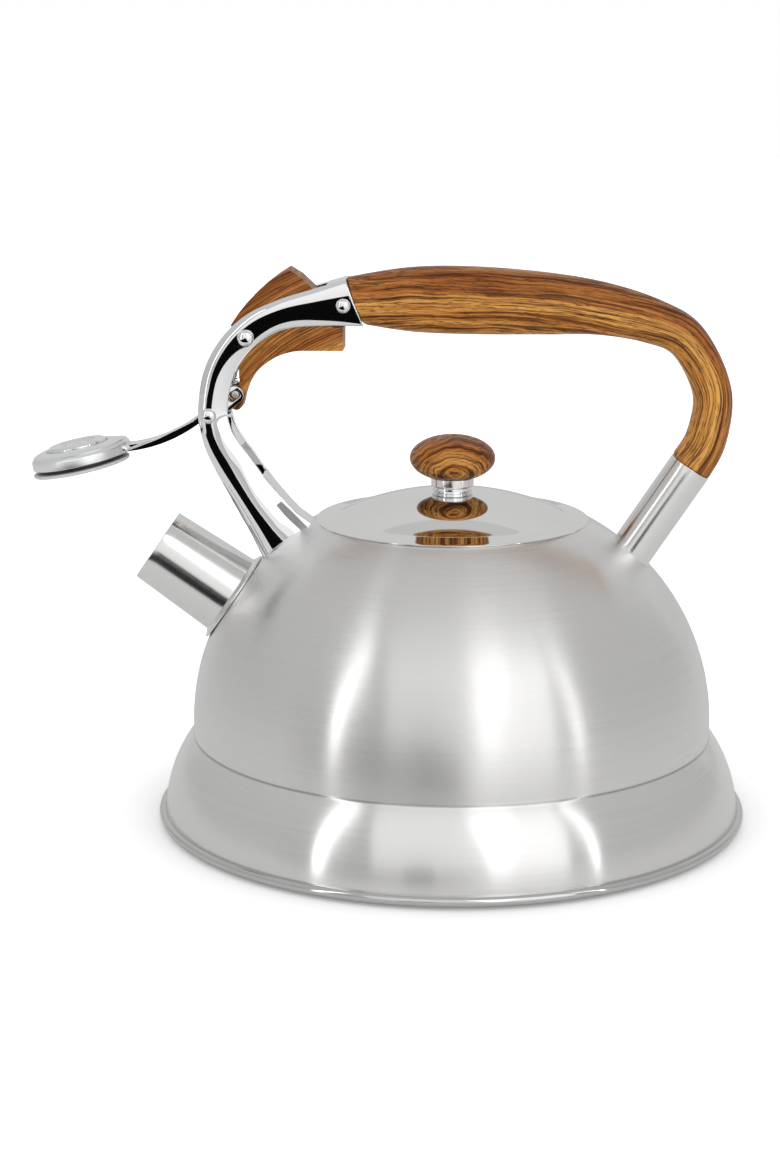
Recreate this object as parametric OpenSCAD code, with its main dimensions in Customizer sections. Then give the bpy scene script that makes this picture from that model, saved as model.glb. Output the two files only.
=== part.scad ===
// Stovetop whistling kettle with a squeeze-trigger whistle cap and a lift-off lid.
// Millimetres, +Z up. The origin is on the kettle's axis in the plane it stands on.
// The spout points to -X and the handle lies in the XZ plane.

/* [Body] */
// Thickness of the drawn steel sheet
wall = 0.8; // [0.6:0.1:1.0]
// Radius of the dome's section arc
dome_r = 84.6; // [84.2:0.1:85.0]
// Radius of the skirt's section arc
skirt_r = 49.9; // [49.6:0.1:50.2]
// Outer radius of the rolled bead around the base
bead_out_r = 110; // [109.5:0.1:110.5]
// Radius of the heat-spreading disc under the base
disc_r = 90; // [80:1:94]

/* [Lid] */
// Radius of the lid's rim
lid_r = 50.3; // [50.1:0.1:51]
// Height of the lid's crown above the table
lid_top = 123.6; // [123.5:0.1:124]
// Widest radius of the knob
knob_r = 15.75; // [13:0.25:17]
// Height of the knob
knob_h = 15.7; // [14:0.1:17]

/* [Spout] */
// Angle of the spout above the horizontal
spout_tilt = 34.5; // [34:0.1:35]
// Outer radius at the mouth
mouth_r = 14.3; // [13.8:0.1:14.6]
// Outer radius at the collar
spout_base_r = 15.6; // [15:0.1:15.8]
// Outer radius of the crimped collar
collar_r = 18.3; // [17.5:0.1:19]

/* [Handle] */
// Depth of the front bracket across the kettle
bracket_w = 17; // [16.8:0.1:18]
// Sheet thickness of the bracket's cheeks
cheek = 0.9; // [0.7:0.1:1.0]
// Outer radius of the rear post
post_r = 8; // [7.8:0.1:8.4]

/* [Whistle] */
// Angle that the trigger turns between open and closed
trigger_stroke = 24; // [24:0.5:24]
// Angle that the whistle arm turns between open and closed
arm_stroke = 43.5; // [43.5:0.5:43.5]
// Radius of the whistle cap's cover
cap_r = 17.8; // [17:0.1:18]

/* [Hidden] */
$fn = 96;
// Finer setting for the wide arcs of thin sheet
fine = 360;

// Body section: centres of the dome and skirt arcs as [radius, height]
dome_c = [12, 37];
skirt_c = [57.7, 1.5];
crease_z = 32.9;
bead_r = 1.8;
bead_c = [bead_out_r - bead_r, 3];
floor_z = 4.3;
step_r = 50;
neck_r = 46.2;
ledge_z = 110.6;
neck_z = 104;

// Lid section: a spherical cap on the axis
lid_sheet = 0.6;
lid_rise = 10.2;
lid_R = (lid_r * lid_r + lid_rise * lid_rise) / (2 * lid_rise);
lid_c = lid_top - lid_R;
plug_r = 44.8;
ferrule_z = 125.2;
knob_z = 128.4;

// Places in the handle plane, as [x, z]
mouth_at = [-110, 101.55];
trigger_at = [-74.9, 180.3];
arm_at = [-88.85, 151.6];
link_at = [-79.2, 159.3];
grip_pin_at = [-39.4, 192.2];
spring_at = [-82, 177.5];
rivet_at = [-120.9, 138.4];
post_foot = [66.7, 102.2];
post_tilt = 33.2;
post_len = 37.4;
foot_tilt = -37.5;
seat_z = 82.5;

// Widths across the kettle, from the middle plane
cheek_in = bracket_w / 2 - cheek;
slot_half = 7.2;
trigger_half = 6.8;
tail_half = 4.6;
web_half = 1.6;
ear_in = 5;
ear_out = 6.3;
arm_half = 3.5;
ear_sweep = 16.6;

// Pins
pin_r = 1.6;
link_r = 1.3;
spring_pin_r = 1.1;
run = 0.05;
spring_y = -3.3;
screw_r = 1.75;
bolt_r = 2.5;
knob_screw_r = 2;

// Points of an arc about c, from angle a0 to a1
function arc(c, r, a0, a1, n) =
    [for (i = [0:n]) let (a = a0 + (a1 - a0) * i / n) c + r * [cos(a), sin(a)]];

// Draws a shape of the handle plane and gives it thickness from y0 to y1
module slab(y0, y1) {
    translate([0, y1, 0]) rotate([90, 0, 0]) linear_extrude(height = y1 - y0) children();
}

// Local frames: +Z along a line that leans by tilt from the vertical in the XZ plane
module leaning(at, tilt) {
    translate([at[0], 0, at[1]]) rotate([0, tilt, 0]) children();
}
module on_spout() { leaning(mouth_at, spout_tilt - 90) children(); }
module on_foot() { leaning([-dome_c[0], dome_c[1]], foot_tilt) children(); }
module on_post() { leaning(post_foot, post_tilt) children(); }

// The closed cap sits on the mouth; the model's rest pose is open
module whistle_open() {
    translate([arm_at[0], 0, arm_at[1]]) rotate([0, arm_stroke, 0])
        translate([-arm_at[0], 0, -arm_at[1]]) on_spout() translate([1.2, 0, 0]) children();
}

module tube(r_out, r_in, z0, z1) {
    translate([0, 0, z0]) difference() {
        cylinder(h = z1 - z0, r = r_out);
        translate([0, 0, -1]) cylinder(h = z1 - z0 + 2, r = r_in);
    }
}

// Round pin across the handle plane with a domed head on each side
module headed_pin(at, r, head_r, half) {
    head_h = 0.62 * head_r;
    ball = (head_r * head_r + head_h * head_h) / (2 * head_h);
    translate([at[0], 0, at[1]]) for (side = [0, 180]) rotate([90, 0, side]) {
        cylinder(h = half + 0.1, r = r);
        intersection() {
            translate([0, 0, half + head_h - ball]) sphere(r = ball);
            translate([0, 0, half]) cylinder(h = head_h + 1, r = head_r);
        }
    }
}

// Solid bounded by the dome's section arc of radius r
module dome_solid(r) {
    rotate_extrude($fn = fine) intersection() {
        translate(dome_c) circle(r = r, $fn = fine);
        translate([0, dome_c[1] - 2]) square([120, 120]);
    }
}

module ring_2d(c, r_out, thickness) {
    translate(c) difference() {
        circle(r = r_out, $fn = fine);
        circle(r = r_out - thickness, $fn = fine);
    }
}

// ---- body ----

module shell_2d() {
    intersection() {
        ring_2d(dome_c, dome_r, wall);
        translate([step_r - wall, crease_z]) square([100, 90]);
    }
    intersection() {
        ring_2d(skirt_c, skirt_r, wall);
        translate([skirt_c[0] + 20, bead_c[1]]) square([60, crease_z - bead_c[1]]);
    }
    translate([step_r - wall, ledge_z - wall]) square([wall, 1.9]);
    translate([neck_r - wall, ledge_z - wall]) square([step_r - neck_r, wall]);
    translate([neck_r - wall, neck_z]) square([wall, ledge_z - neck_z]);
}

module body_shell() {
    color([0.78, 0.78, 0.77]) difference() {
        union() {
            difference() {
                rotate_extrude() shell_2d();
                // the flat seat pressed into the dome for the spout's collar
                leaning([-dome_c[0], dome_c[1]], spout_tilt - 90)
                    translate([0, 0, seat_z]) cylinder(h = 9, r = 24);
                // the rim is cut level, so that the lid can sit down
                translate([0, 0, ledge_z]) cylinder(h = 9, r = step_r - wall);
            }
            leaning([-dome_c[0], dome_c[1]], spout_tilt - 90)
                translate([0, 0, seat_z - wall]) cylinder(h = wall, r = 19.3);
        }
        on_spout() translate([0, 0, -50]) cylinder(h = 30, r = spout_base_r + run);
        on_foot() for (x = [-4.2, 4.2]) translate([x, 0, 78]) cylinder(h = 12, r = screw_r + 0.1);
        on_post() translate([0, 0, -8]) cylinder(h = 14, r = bolt_r + 0.1);
    }
}

module base_pan() {
    color([0.78, 0.78, 0.77]) rotate_extrude() difference() {
        union() {
            translate(bead_c) circle(r = bead_r);
            translate([0, floor_z]) square([97, wall]);
            polygon([[96, floor_z], [97, floor_z], [106.6, 2.4], [107.6, 3.2], [97, floor_z + wall]]);
        }
        intersection() {
            ring_2d(skirt_c, skirt_r + 0.01, wall + 0.02);
            translate([100, bead_c[1]]) square([12, 12]);
        }
    }
}

module heat_disc() {
    color([0.62, 0.63, 0.64]) translate([0, 0, 0.6]) cylinder(h = floor_z - 0.6, r = disc_r);
}

module base_cap() {
    color([0.8, 0.8, 0.8]) difference() {
        cylinder(h = floor_z, r = disc_r + 0.7);
        translate([0, 0, 0.6]) cylinder(h = floor_z, r = disc_r);
    }
}

module spout_tube() {
    neck = 34.85;
    color([0.8, 0.8, 0.79]) on_spout() rotate_extrude() polygon([
        [spout_base_r - wall, -neck - 4], [spout_base_r, -neck - 4], [spout_base_r, -neck + 1],
        [mouth_r, 0], [mouth_r - wall, 0], [spout_base_r - wall, -neck + 1]
    ]);
}

module spout_collar() {
    color([0.72, 0.72, 0.71]) on_spout() tube(collar_r, spout_base_r, -34.8, -33.85);
}

// ---- front bracket ----

// The bracket's outer edge from the foot up to the grip, d inside the metal's outline
function outer_edge(d) = concat(
    [[-67.5 + d, 94.6]],
    arc([-47.1, 154], 46 - d, 211, 183, 5),
    arc([-50.9, 154], 42.2 - d, 180, 107, 12),
    [[-38.6, 201.6 - d]]
);
// The bracket's inner edge from the grip down to the foot
function inner_edge(d) = concat(
    [[-32.2, 184.5 + d]],
    arc([-51.4, 154], 30.5 + d, 90, 177, 13),
    arc([-60.9, 154], 21 + d, 182, 215, 5),
    [[-62.7 - d, 121], [-49.5 - d, 108]]
);

module bracket_2d(d) { polygon(concat(outer_edge(d), inner_edge(d))); }

// Everything outside the bracket's outer bend, between two angles about its centre
module outer_slot_2d() {
    c = [-50.9, 154];
    difference() {
        polygon(concat([c], arc(c, 70, 84.5, 210, 9)));
        circle_at(c, 39.6);
    }
}
module circle_at(c, r) { translate(c) circle(r = r, $fn = r > 60 ? fine : $fn); }

// Everything inside the bracket's bend above the closed lower stretch
module inner_slot_2d() {
    intersection() {
        polygon(concat(inner_edge(1.6), [[-20, 108], [-20, 186.1]]));
        translate([-100, 129.5]) square([100, 56.6]);
    }
}

module bracket_inside_2d() {
    polygon(concat(
        [[-66, 92]], outer_edge(cheek + 0.3), [[-26, 203.4]], [[-20, 184.5 + cheek + 0.3]],
        inner_edge(cheek + 0.3), [[-44, 100]]
    ));
}

module front_bracket() {
    color([0.7, 0.71, 0.72]) difference() {
        slab(-bracket_w / 2, bracket_w / 2) bracket_2d(0);
        slab(-cheek_in, cheek_in) bracket_inside_2d();
        slab(-slot_half, slot_half) outer_slot_2d();
        slab(-slot_half, slot_half) inner_slot_2d();
        dome_solid(dome_r);
        for (p = [trigger_at, arm_at, grip_pin_at])
            translate([p[0], 15, p[1]]) rotate([90, 0, 0]) cylinder(h = 30, r = pin_r);
        translate([spring_at[0], 15, spring_at[1]]) rotate([90, 0, 0])
            cylinder(h = 30, r = spring_pin_r);
    }
}

// Steel block welded inside the bracket's foot, tapped for the two screws
module bracket_foot_block() {
    color([0.6, 0.6, 0.62]) difference() {
        intersection() {
            slab(-cheek_in + 0.02, cheek_in - 0.02) polygon(concat(
                [[-66, 92]], outer_edge(cheek + 0.32), inner_edge(cheek + 0.32), [[-44, 100]]
            ));
            on_foot() translate([-14, -10, 78]) cube([28, 20, 18.6]);
        }
        dome_solid(dome_r);
        on_foot() for (x = [-4.2, 4.2]) translate([x, 0, 78]) cylinder(h = 12, r = screw_r);
    }
}

module bracket_screws() {
    color([0.66, 0.66, 0.68]) on_foot() for (x = [-4.2, 4.2]) translate([x, 0, 0]) {
        translate([0, 0, 79.6]) cylinder(h = 2.4, r = 3.1);
        translate([0, 0, 81.9]) cylinder(h = 7.4, r = screw_r);
    }
}

module bracket_washers() {
    color([0.35, 0.35, 0.36]) intersection() {
        on_foot() for (x = [-4.2, 4.2]) translate([x, 0, 0]) tube(3.7, screw_r, 82, 86);
        dome_solid(dome_r - wall);
    }
}

// ---- rear post and grip ----

module rear_post() {
    color([0.75, 0.76, 0.77]) difference() {
        on_post() tube(post_r, post_r - 1, -8, post_len);
        dome_solid(dome_r);
    }
}

module post_bolt() {
    color([0.66, 0.66, 0.68]) on_post() {
        translate([0, 0, -6.4]) cylinder(h = 2.8, r = 4.3);
        translate([0, 0, -3.7]) cylinder(h = 51.7, r = bolt_r);
    }
}

module post_washer() {
    color([0.35, 0.35, 0.36]) intersection() {
        on_post() tube(5.2, bolt_r, -3.6, 2);
        dome_solid(dome_r - wall);
    }
}

// Stations of the grip: [x, z, angle of the top's normal, half height, half depth]
grip_stations = [
    [-35.4, 193.1, 110.6, 9.1, 8.5], [-14, 193.7, 93, 11.75, 10.4],
    [8, 193.5, 90, 12.2, 11.3], [33, 192.6, 88, 11.2, 11],
    [54, 190.8, 80, 9.5, 10.2], [72.6, 186.2, 67, 8.1, 9.3],
    [85.1, 179.1, 45, 7.3, 8.8], [94, 161.3, 10, 7.1, 8.4],
    [92.6, 144.4, -18, 7.5, 8.1], [87.1, 133.6, -33.2, 7.9, 8]
];
grip_sides = 20;
grip_steps = 4;
grip_roundness = 0.84;

// Catmull-Rom value between p[i] and p[i + 1]
function smooth_at(p, i, t) =
    let (last = len(p) - 1, a = p[max(i - 1, 0)], b = p[i], c = p[min(i + 1, last)], d = p[min(i + 2, last)])
    0.5 * (2 * b + (c - a) * t + (2 * a - 5 * b + 4 * c - d) * t * t + (3 * b - a - 3 * c + d) * t * t * t);
function grip_rings() = [
    for (k = [0:(len(grip_stations) - 1) * grip_steps])
        let (i = min(floor(k / grip_steps), len(grip_stations) - 2))
        smooth_at(grip_stations, i, k / grip_steps - i)
];
function round_power(v) = sign(v) * pow(abs(v), grip_roundness);
function ring_point(s, a) =
    let (u = s[3] * round_power(sin(a)), v = s[4] * round_power(cos(a)))
    [s[0] + u * cos(s[2]), v, s[1] + u * sin(s[2])];

module grip_skin() {
    rings = grip_rings();
    n = grip_sides;
    last = len(rings) - 1;
    points = [for (s = rings) for (j = [0:n - 1]) ring_point(s, 360 * j / n)];
    sides = [for (i = [0:last - 1]) for (j = [0:n - 1])
        let (k = (j + 1) % n, a = i * n + j, b = i * n + k, c = a + n, d = b + n)
        each [[a, b, d], [a, d, c]]];
    ends = [for (j = [1:n - 2]) each [[0, j, j + 1], [last * n, last * n + j + 1, last * n + j]]];
    polyhedron(points = points, faces = concat(sides, ends));
}

module grip() {
    color([0.72, 0.45, 0.2]) difference() {
        union() {
            grip_skin();
            // tongue inside the bracket
            slab(-cheek_in + 0.05, cheek_in - 0.05)
                polygon([[-43.3, 186.2], [-43.3, 198.4], [-37.2, 200.2], [-31, 200], [-29, 186.2]]);
            // spigot inside the rear post
            on_post() translate([0, 0, 24]) cylinder(h = 16, r = post_r - 1 - run);
        }
        translate([grip_pin_at[0], 15, grip_pin_at[1]]) rotate([90, 0, 0])
            cylinder(h = 30, r = pin_r);
        on_post() translate([0, 0, 20]) cylinder(h = 28, r = bolt_r);
    }
}

module grip_pin() { color([0.8, 0.8, 0.8]) headed_pin(grip_pin_at, pin_r, 2.6, bracket_w / 2); }
module trigger_pin() { color([0.8, 0.8, 0.8]) headed_pin(trigger_at, pin_r, 3.05, bracket_w / 2); }
module arm_pin() { color([0.8, 0.8, 0.8]) headed_pin(arm_at, pin_r, 2.8, bracket_w / 2); }

module spring_pin() {
    color([0.7, 0.7, 0.7]) translate([spring_at[0], bracket_w / 2, spring_at[1]])
        rotate([90, 0, 0]) cylinder(h = bracket_w, r = spring_pin_r);
}

// Closed outer form of the coil spring, from the anchor pin to the link pin
module return_spring() {
    along = link_at - spring_at;
    length = norm(along);
    color([0.5, 0.5, 0.5]) translate([spring_at[0], spring_y, spring_at[1]])
        rotate([0, 90 - atan2(along[1], along[0]), 0])
            tube(1.45, 0.95, spring_pin_r + 1, length - link_r - 1);
}

// ---- trigger and whistle ----

module trigger_2d() {
    polygon(concat(
        arc([-29.5, 153.1], 60, 148.3, 120.1, 6), [[-55.2, 202.3], [-50.4, 197.8]],
        arc(trigger_at, 30.2, 35, 9, 5), [[-43, 184], [-39.8, 184], [-39.8, 175.5]],
        arc([-54, 152.7], 22.8, 92, 172, 10), arc([-79.1, 155.6], 2.4, 0, -180, 6),
        [[-78.6, 159], [-77.7, 165], [-77.7, 172]], arc(trigger_at, 4.8, 232, 150, 5)
    ));
}
// The band that the fork's ears sweep through, in the trigger's own frame
module ear_room_2d() {
    reach = norm(arm_at - trigger_at);
    a0 = 360 + atan2(arm_at[1] - trigger_at[1], arm_at[0] - trigger_at[0]);
    for (a = [a0 - 6:6:a0 + trigger_stroke])
        circle_at(trigger_at + reach * [cos(a), sin(a)], ear_sweep);
}

module trigger() {
    color([0.72, 0.45, 0.2]) difference() {
        union() {
            slab(-trigger_half, trigger_half) difference() { trigger_2d(); ear_room_2d(); }
            slab(-tail_half, tail_half) trigger_2d();
            slab(-web_half, web_half) {
                circle_at(link_at, 3);
                polygon([[-79.2, 156.3], [-77, 156], [-77, 164], [-79.2, 162.3]]);
            }
        }
        translate([trigger_at[0], 15, trigger_at[1]]) rotate([90, 0, 0])
            cylinder(h = 30, r = pin_r + run);
        translate([link_at[0], 15, link_at[1]]) rotate([90, 0, 0]) cylinder(h = 30, r = link_r);
    }
}

module link_pin() {
    color([0.7, 0.7, 0.7]) translate([link_at[0], ear_out + 0.5, link_at[1]])
        rotate([90, 0, 0]) cylinder(h = 2 * (ear_out + 0.5), r = link_r);
}

// One ear of the fork: a bar from the pivot to a rounded end, with a slot for the link pin
module ear_2d() {
    along = link_at - arm_at;
    turn = atan2(along[1], along[0]) - 0.5;
    translate(arm_at) rotate(turn) difference() {
        union() {
            circle(r = 4.2);
            translate([0, -3.2]) square([norm(along) - 0.4, 6.4]);
            translate([norm(along) - 0.4, 0]) circle(r = 3.2);
        }
        translate([10.4, -link_r - 0.35]) square([2, 2 * link_r + 0.7]);
        for (x = [10.4, 12.4]) translate([x, 0]) circle(r = link_r + 0.35);
    }
}
module arm_strip_2d() {
    c = [-126.3, 192.1];
    intersection() {
        ring_2d(c, 55.3, 2.6);
        polygon(concat([c], arc(c, 70, -86, -49, 6)));
    }
}
module arm_strip() { slab(-arm_half, arm_half) arm_strip_2d(); }

module whistle_arm() {
    color([0.75, 0.76, 0.77]) difference() {
        union() {
            arm_strip();
            slab(-ear_out, ear_out) circle_at(arm_at, 3.4);
            for (y = [-ear_out, ear_in]) slab(y, y + ear_out - ear_in) ear_2d();
        }
        translate([arm_at[0], 15, arm_at[1]]) rotate([90, 0, 0]) cylinder(h = 30, r = pin_r + run);
        translate([rivet_at[0], 15, rivet_at[1]]) rotate([90, 0, 0]) cylinder(h = 30, r = 0.9);
    }
}

// Cross rivet through the cap's tail
module cap_rivet() { color([0.8, 0.8, 0.8]) headed_pin(rivet_at, 0.9, 1.5, 4.75); }

module cap_cover() {
    color([0.82, 0.83, 0.84]) difference() {
        whistle_open() difference() {
            union() {
                translate([0, 0, 3.1]) cylinder(h = 5.4, r = cap_r);
                translate([8, -4.6, 3.1]) cube([11, 9.2, 4.8]);
            }
            translate([0, 0, 2]) cylinder(h = 5.5, r = cap_r - 1);
            translate([0, 0, 3]) cylinder(h = 9, r = 3);
        }
        slab(-arm_half - 0.02, arm_half + 0.02) arm_strip_2d();
        translate([rivet_at[0], 15, rivet_at[1]]) rotate([90, 0, 0]) cylinder(h = 30, r = 0.9);
        // room for the rivet's heads beside the tail
        for (y = [-4.7, 14.7]) translate([rivet_at[0], y, rivet_at[1]])
            rotate([90, 0, 0]) cylinder(h = 10, r = 1.6);
    }
}

module whistle_disc() {
    color([0.7, 0.7, 0.7]) whistle_open() rotate_extrude() polygon([
        [1.5, 8.5], [10.6, 8.5], [10.6, 9], [9.6, 9.6], [6, 9.6], [4.4, 9], [1.5, 9]
    ]);
}

module whistle_plate() {
    color([0.6, 0.6, 0.6]) whistle_open() tube(cap_r - 1.8, 1.6, 1.6, 3.1);
}

module cap_seal() {
    color([0.85, 0.85, 0.84]) whistle_open() tube(18.2, 10, 0.3, 1.6);
}

// ---- lid ----

module lid_shell() {
    color([0.8, 0.8, 0.8]) difference() {
        rotate_extrude() intersection() {
            ring_2d([0, lid_c], lid_R, lid_sheet);
            translate([0, 100]) square([lid_r, 40]);
        }
        translate([0, 0, 100]) cylinder(h = 40, r = knob_screw_r + 0.1);
    }
}

module lid_skirt() {
    color([0.74, 0.74, 0.74]) rotate_extrude() intersection() {
        translate([plug_r - wall, neck_z + 0.5]) square([wall, 20]);
        circle_at([0, lid_c], lid_R - lid_sheet);
    }
}

module knob_ring() {
    color([0.8, 0.8, 0.8]) rotate_extrude() difference() {
        translate([knob_screw_r + 0.1, lid_top - 0.6]) square([5.1, ferrule_z - lid_top + 0.6]);
        circle_at([0, lid_c], lid_R);
    }
}

module knob_ferrule() {
    color([0.8, 0.8, 0.8]) tube(7.9, knob_screw_r + 0.1, ferrule_z, knob_z);
}

module lid_knob() {
    half = knob_h / (1 + sin(58));
    color([0.72, 0.45, 0.2]) difference() {
        rotate_extrude() polygon(concat(
            [[0, knob_z]],
            [for (a = [-58:6:86]) [knob_r * cos(a), knob_z + half * (sin(a) + sin(58))]],
            [[0, knob_z + knob_h]]
        ));
        translate([0, 0, knob_z - 1]) cylinder(h = 10, r = knob_screw_r);
    }
}

module knob_screw() {
    color([0.66, 0.66, 0.68]) {
        translate([0, 0, lid_top - 4]) cylinder(h = 2.2, r = 3.6);
        translate([0, 0, lid_top - 1.9]) cylinder(h = knob_z + 9.9 - lid_top, r = knob_screw_r);
    }
}

module knob_washer() {
    color([0.35, 0.35, 0.36]) rotate_extrude() intersection() {
        translate([knob_screw_r + 0.1, lid_top - 1.8]) square([3.9, 3]);
        circle_at([0, lid_c], lid_R - lid_sheet);
    }
}

body_shell();
base_pan();
heat_disc();
base_cap();
spout_tube();
spout_collar();
front_bracket();
bracket_foot_block();
bracket_screws();
bracket_washers();
rear_post();
post_bolt();
post_washer();
grip();
grip_pin();
trigger_pin();
arm_pin();
spring_pin();
return_spring();
trigger();
link_pin();
whistle_arm();
cap_rivet();
cap_cover();
whistle_disc();
whistle_plate();
cap_seal();
lid_shell();
lid_skirt();
knob_ring();
knob_ferrule();
lid_knob();
knob_screw();
knob_washer();
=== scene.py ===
"""Stovetop whistling kettle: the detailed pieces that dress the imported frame, and the studio around it."""
import math

import bmesh
import bpy
from mathutils import Matrix, Vector


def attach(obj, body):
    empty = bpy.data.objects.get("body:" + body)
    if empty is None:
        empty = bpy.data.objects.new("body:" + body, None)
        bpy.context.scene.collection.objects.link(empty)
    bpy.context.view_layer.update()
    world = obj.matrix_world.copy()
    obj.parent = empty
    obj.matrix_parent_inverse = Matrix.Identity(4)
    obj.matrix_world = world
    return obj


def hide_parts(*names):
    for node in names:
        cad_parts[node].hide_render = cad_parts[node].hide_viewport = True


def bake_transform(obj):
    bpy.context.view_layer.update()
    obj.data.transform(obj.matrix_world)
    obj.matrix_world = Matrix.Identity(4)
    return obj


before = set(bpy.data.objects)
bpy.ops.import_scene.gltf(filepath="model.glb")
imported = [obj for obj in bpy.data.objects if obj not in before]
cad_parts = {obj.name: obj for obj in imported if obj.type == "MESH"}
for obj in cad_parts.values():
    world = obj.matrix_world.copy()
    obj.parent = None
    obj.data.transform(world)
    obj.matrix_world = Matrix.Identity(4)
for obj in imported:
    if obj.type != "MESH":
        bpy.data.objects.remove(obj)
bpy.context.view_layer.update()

bl_info = {
    "name": "Stovetop whistling kettle",
    "version": (1, 0, 0),
    "blender": (4, 5, 0),
    "location": "3D View > Sidebar > Kettle",
    "description": "Builds the kettle's steel body, spout, lid, handle and whistle around its frame",
    "category": "Object",
}

MM = 0.001

# Places in the handle plane, as (x, z) in millimetres
DOME_CENTRE = (12, 37)
SKIRT_CENTRE = (57.7, 1.5)
CREASE_Z = 32.9
MOUTH = (-110, 101.55)
TRIGGER_PIN = (-74.9, 180.3)
ARM_PIN = (-88.85, 151.6)
LINK = (-79.2, 159.3)
GRIP_PIN = (-39.4, 192.2)
SPRING_PIN = (-82, 177.5)
SPRING_Y = -3.3  # the spring hangs in front of the handle plane
RIVET = (-120.9, 138.4)
POST_FOOT = (66.7, 102.2)
POST_TILT = 33.2  # degrees from the vertical
SPOUT_RISE = 34.5  # degrees above level
WHISTLE_SWING = 43.5  # degrees from open to seated
LEDGE_Z = 110.6
FERRULE_Z = 125.2
KNOB_Z = 128.4


def length(name, text, default):
    """A length property in metres, given in millimetres."""
    return bpy.props.FloatProperty(
        name=name, description=text, default=default * MM, min=0, precision=5,
        subtype="DISTANCE", unit="LENGTH",
    )


def colour(name, text, default):
    return bpy.props.FloatVectorProperty(
        name=name, description=text, default=default, min=0, max=1, size=3, subtype="COLOR"
    )


def share(name, text, default, top=1.0):
    return bpy.props.FloatProperty(
        name=name, description=text, default=default, min=0, max=top, subtype="FACTOR"
    )


class KettleSizes(bpy.types.PropertyGroup):
    """Sizes of the visible pieces"""
    dome_radius: length("Dome arc", "Radius of the dome's section arc", 84.6)
    skirt_radius: length("Skirt arc", "Radius of the skirt's section arc", 49.9)
    sheet: length("Sheet", "Thickness of the drawn steel", 0.8)
    bead_centre: length("Bead circle", "Radius of the base bead's centre line", 108.2)
    bead_radius: length("Bead", "Radius of the rolled bead", 1.8)
    lid_radius: length("Lid", "Radius of the lid's rim", 50.3)
    lid_top: length("Lid crown", "Height of the lid's crown", 123.6)
    lid_rise: length("Lid rise", "Rise of the lid from rim to crown", 10.2)
    knob_radius: length("Knob", "Widest radius of the knob", 15.75)
    knob_height: length("Knob height", "Height of the knob", 15.7)
    mouth_radius: length("Spout mouth", "Outer radius at the spout's mouth", 14.3)
    spout_radius: length("Spout root", "Outer radius at the spout's collar", 15.6)
    collar_radius: length("Collar", "Outer radius of the crimped collar", 18.3)
    bracket_half: length("Bracket", "Half depth of the front bracket", 9.3)
    bracket_lip: length("Bracket lip", "Half width of the slot between the cheeks", 7.15)
    post_radius: length("Post", "Outer radius of the rear post", 8)
    cap_radius: length("Whistle cap", "Radius of the whistle's cover", 17.8)
    spring_radius: length("Spring", "Middle radius of the spring's coil", 1.2)
    spring_wire: length("Spring wire", "Radius of the spring's wire", 0.24)


class KettleFinish(bpy.types.PropertyGroup):
    """Colours and surface values"""
    steel: colour("Steel", "Brushed and polished steel", (0.80, 0.795, 0.785))
    chrome: colour("Chrome", "Plated trim", (0.86, 0.865, 0.87))
    wood_light: colour("Wood, light", "Palest grain", (0.86, 0.435, 0.105))
    wood_mid: colour("Wood, middle", "Body of the grain", (0.50, 0.160, 0.026))
    wood_dark: colour("Wood, dark", "Dark streaks and pores", (0.060, 0.016, 0.003))
    silicone: colour("Silicone", "Seal under the whistle", (0.74, 0.74, 0.72))
    aluminium: colour("Aluminium", "Heat-spreading core", (0.62, 0.63, 0.64))
    rubber: colour("Rubber", "Sealing washers", (0.035, 0.035, 0.037))
    body_roughness: share("Body roughness", "Softness of the satin body", 0.30)
    brushing: share("Brushing", "How far brushing draws highlights out", 0.92)


class KettleStudio(bpy.types.PropertyGroup):
    """Camera, floor and light"""
    lens: bpy.props.FloatProperty(
        name="Lens", description="Focal length", default=76.45, min=1, subtype="DISTANCE_CAMERA"
    )
    camera_at: bpy.props.FloatVectorProperty(
        name="Camera", description="Place of the camera", default=(0.03196, -0.8997, 0.2992),
        size=3, subtype="XYZ", unit="LENGTH",
    )
    camera_aim: bpy.props.FloatVectorProperty(
        name="Aim", description="Direction of the camera", default=(-0.0594, 0.9716, -0.2290),
        size=3, subtype="DIRECTION",
    )
    floor_colour: colour("Floor", "Pale floor", (0.93, 0.93, 0.93))
    sky: bpy.props.FloatProperty(
        name="Surround", description="Brightness of the room", default=0.57, min=0
    )


def sizes():
    return bpy.context.scene.kettle_sizes


def finish():
    return bpy.context.scene.kettle_finish


def mm(value):
    return value / MM


# ---- shader helpers ----

FLOAT, VECTOR, COLOUR = "NodeSocketFloat", "NodeSocketVector", "NodeSocketColor"
IN_MM = (1000, 1000, 1000)
NOISE_SPAN = (0.3, 0.7)  # the values that a noise mostly stays between


def add(tree, kind, **values):
    """Adds a node; names with a leading s_ set inputs, the others set attributes."""
    node = tree.nodes.new(kind)
    for key, value in values.items():
        if key.startswith("s_"):
            node.inputs[key[2:].replace("_", " ")].default_value = value
        else:
            setattr(node, key, value)
    return node


def link_all(tree, pairs):
    for source, target in pairs:
        tree.links.new(source, target)


def feed(tree, socket, value):
    """Links a socket, or sets it to a number or an (r, g, b) colour."""
    if isinstance(value, bpy.types.NodeSocket):
        tree.links.new(value, socket)
    else:
        socket.default_value = (*value, 1) if isinstance(value, tuple) else value


def math_node(tree, operation, first, second=0):
    """The result of a Math node; each side is a number or a socket."""
    node = add(tree, "ShaderNodeMath", operation=operation)
    feed(tree, node.inputs[0], first)
    feed(tree, node.inputs[1], second)
    return node.outputs[0]


def plus(tree, first, second):
    return math_node(tree, "ADD", first, second)


def minus(tree, first, second):
    return math_node(tree, "SUBTRACT", first, second)


def times(tree, first, second):
    return math_node(tree, "MULTIPLY", first, second)


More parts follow.
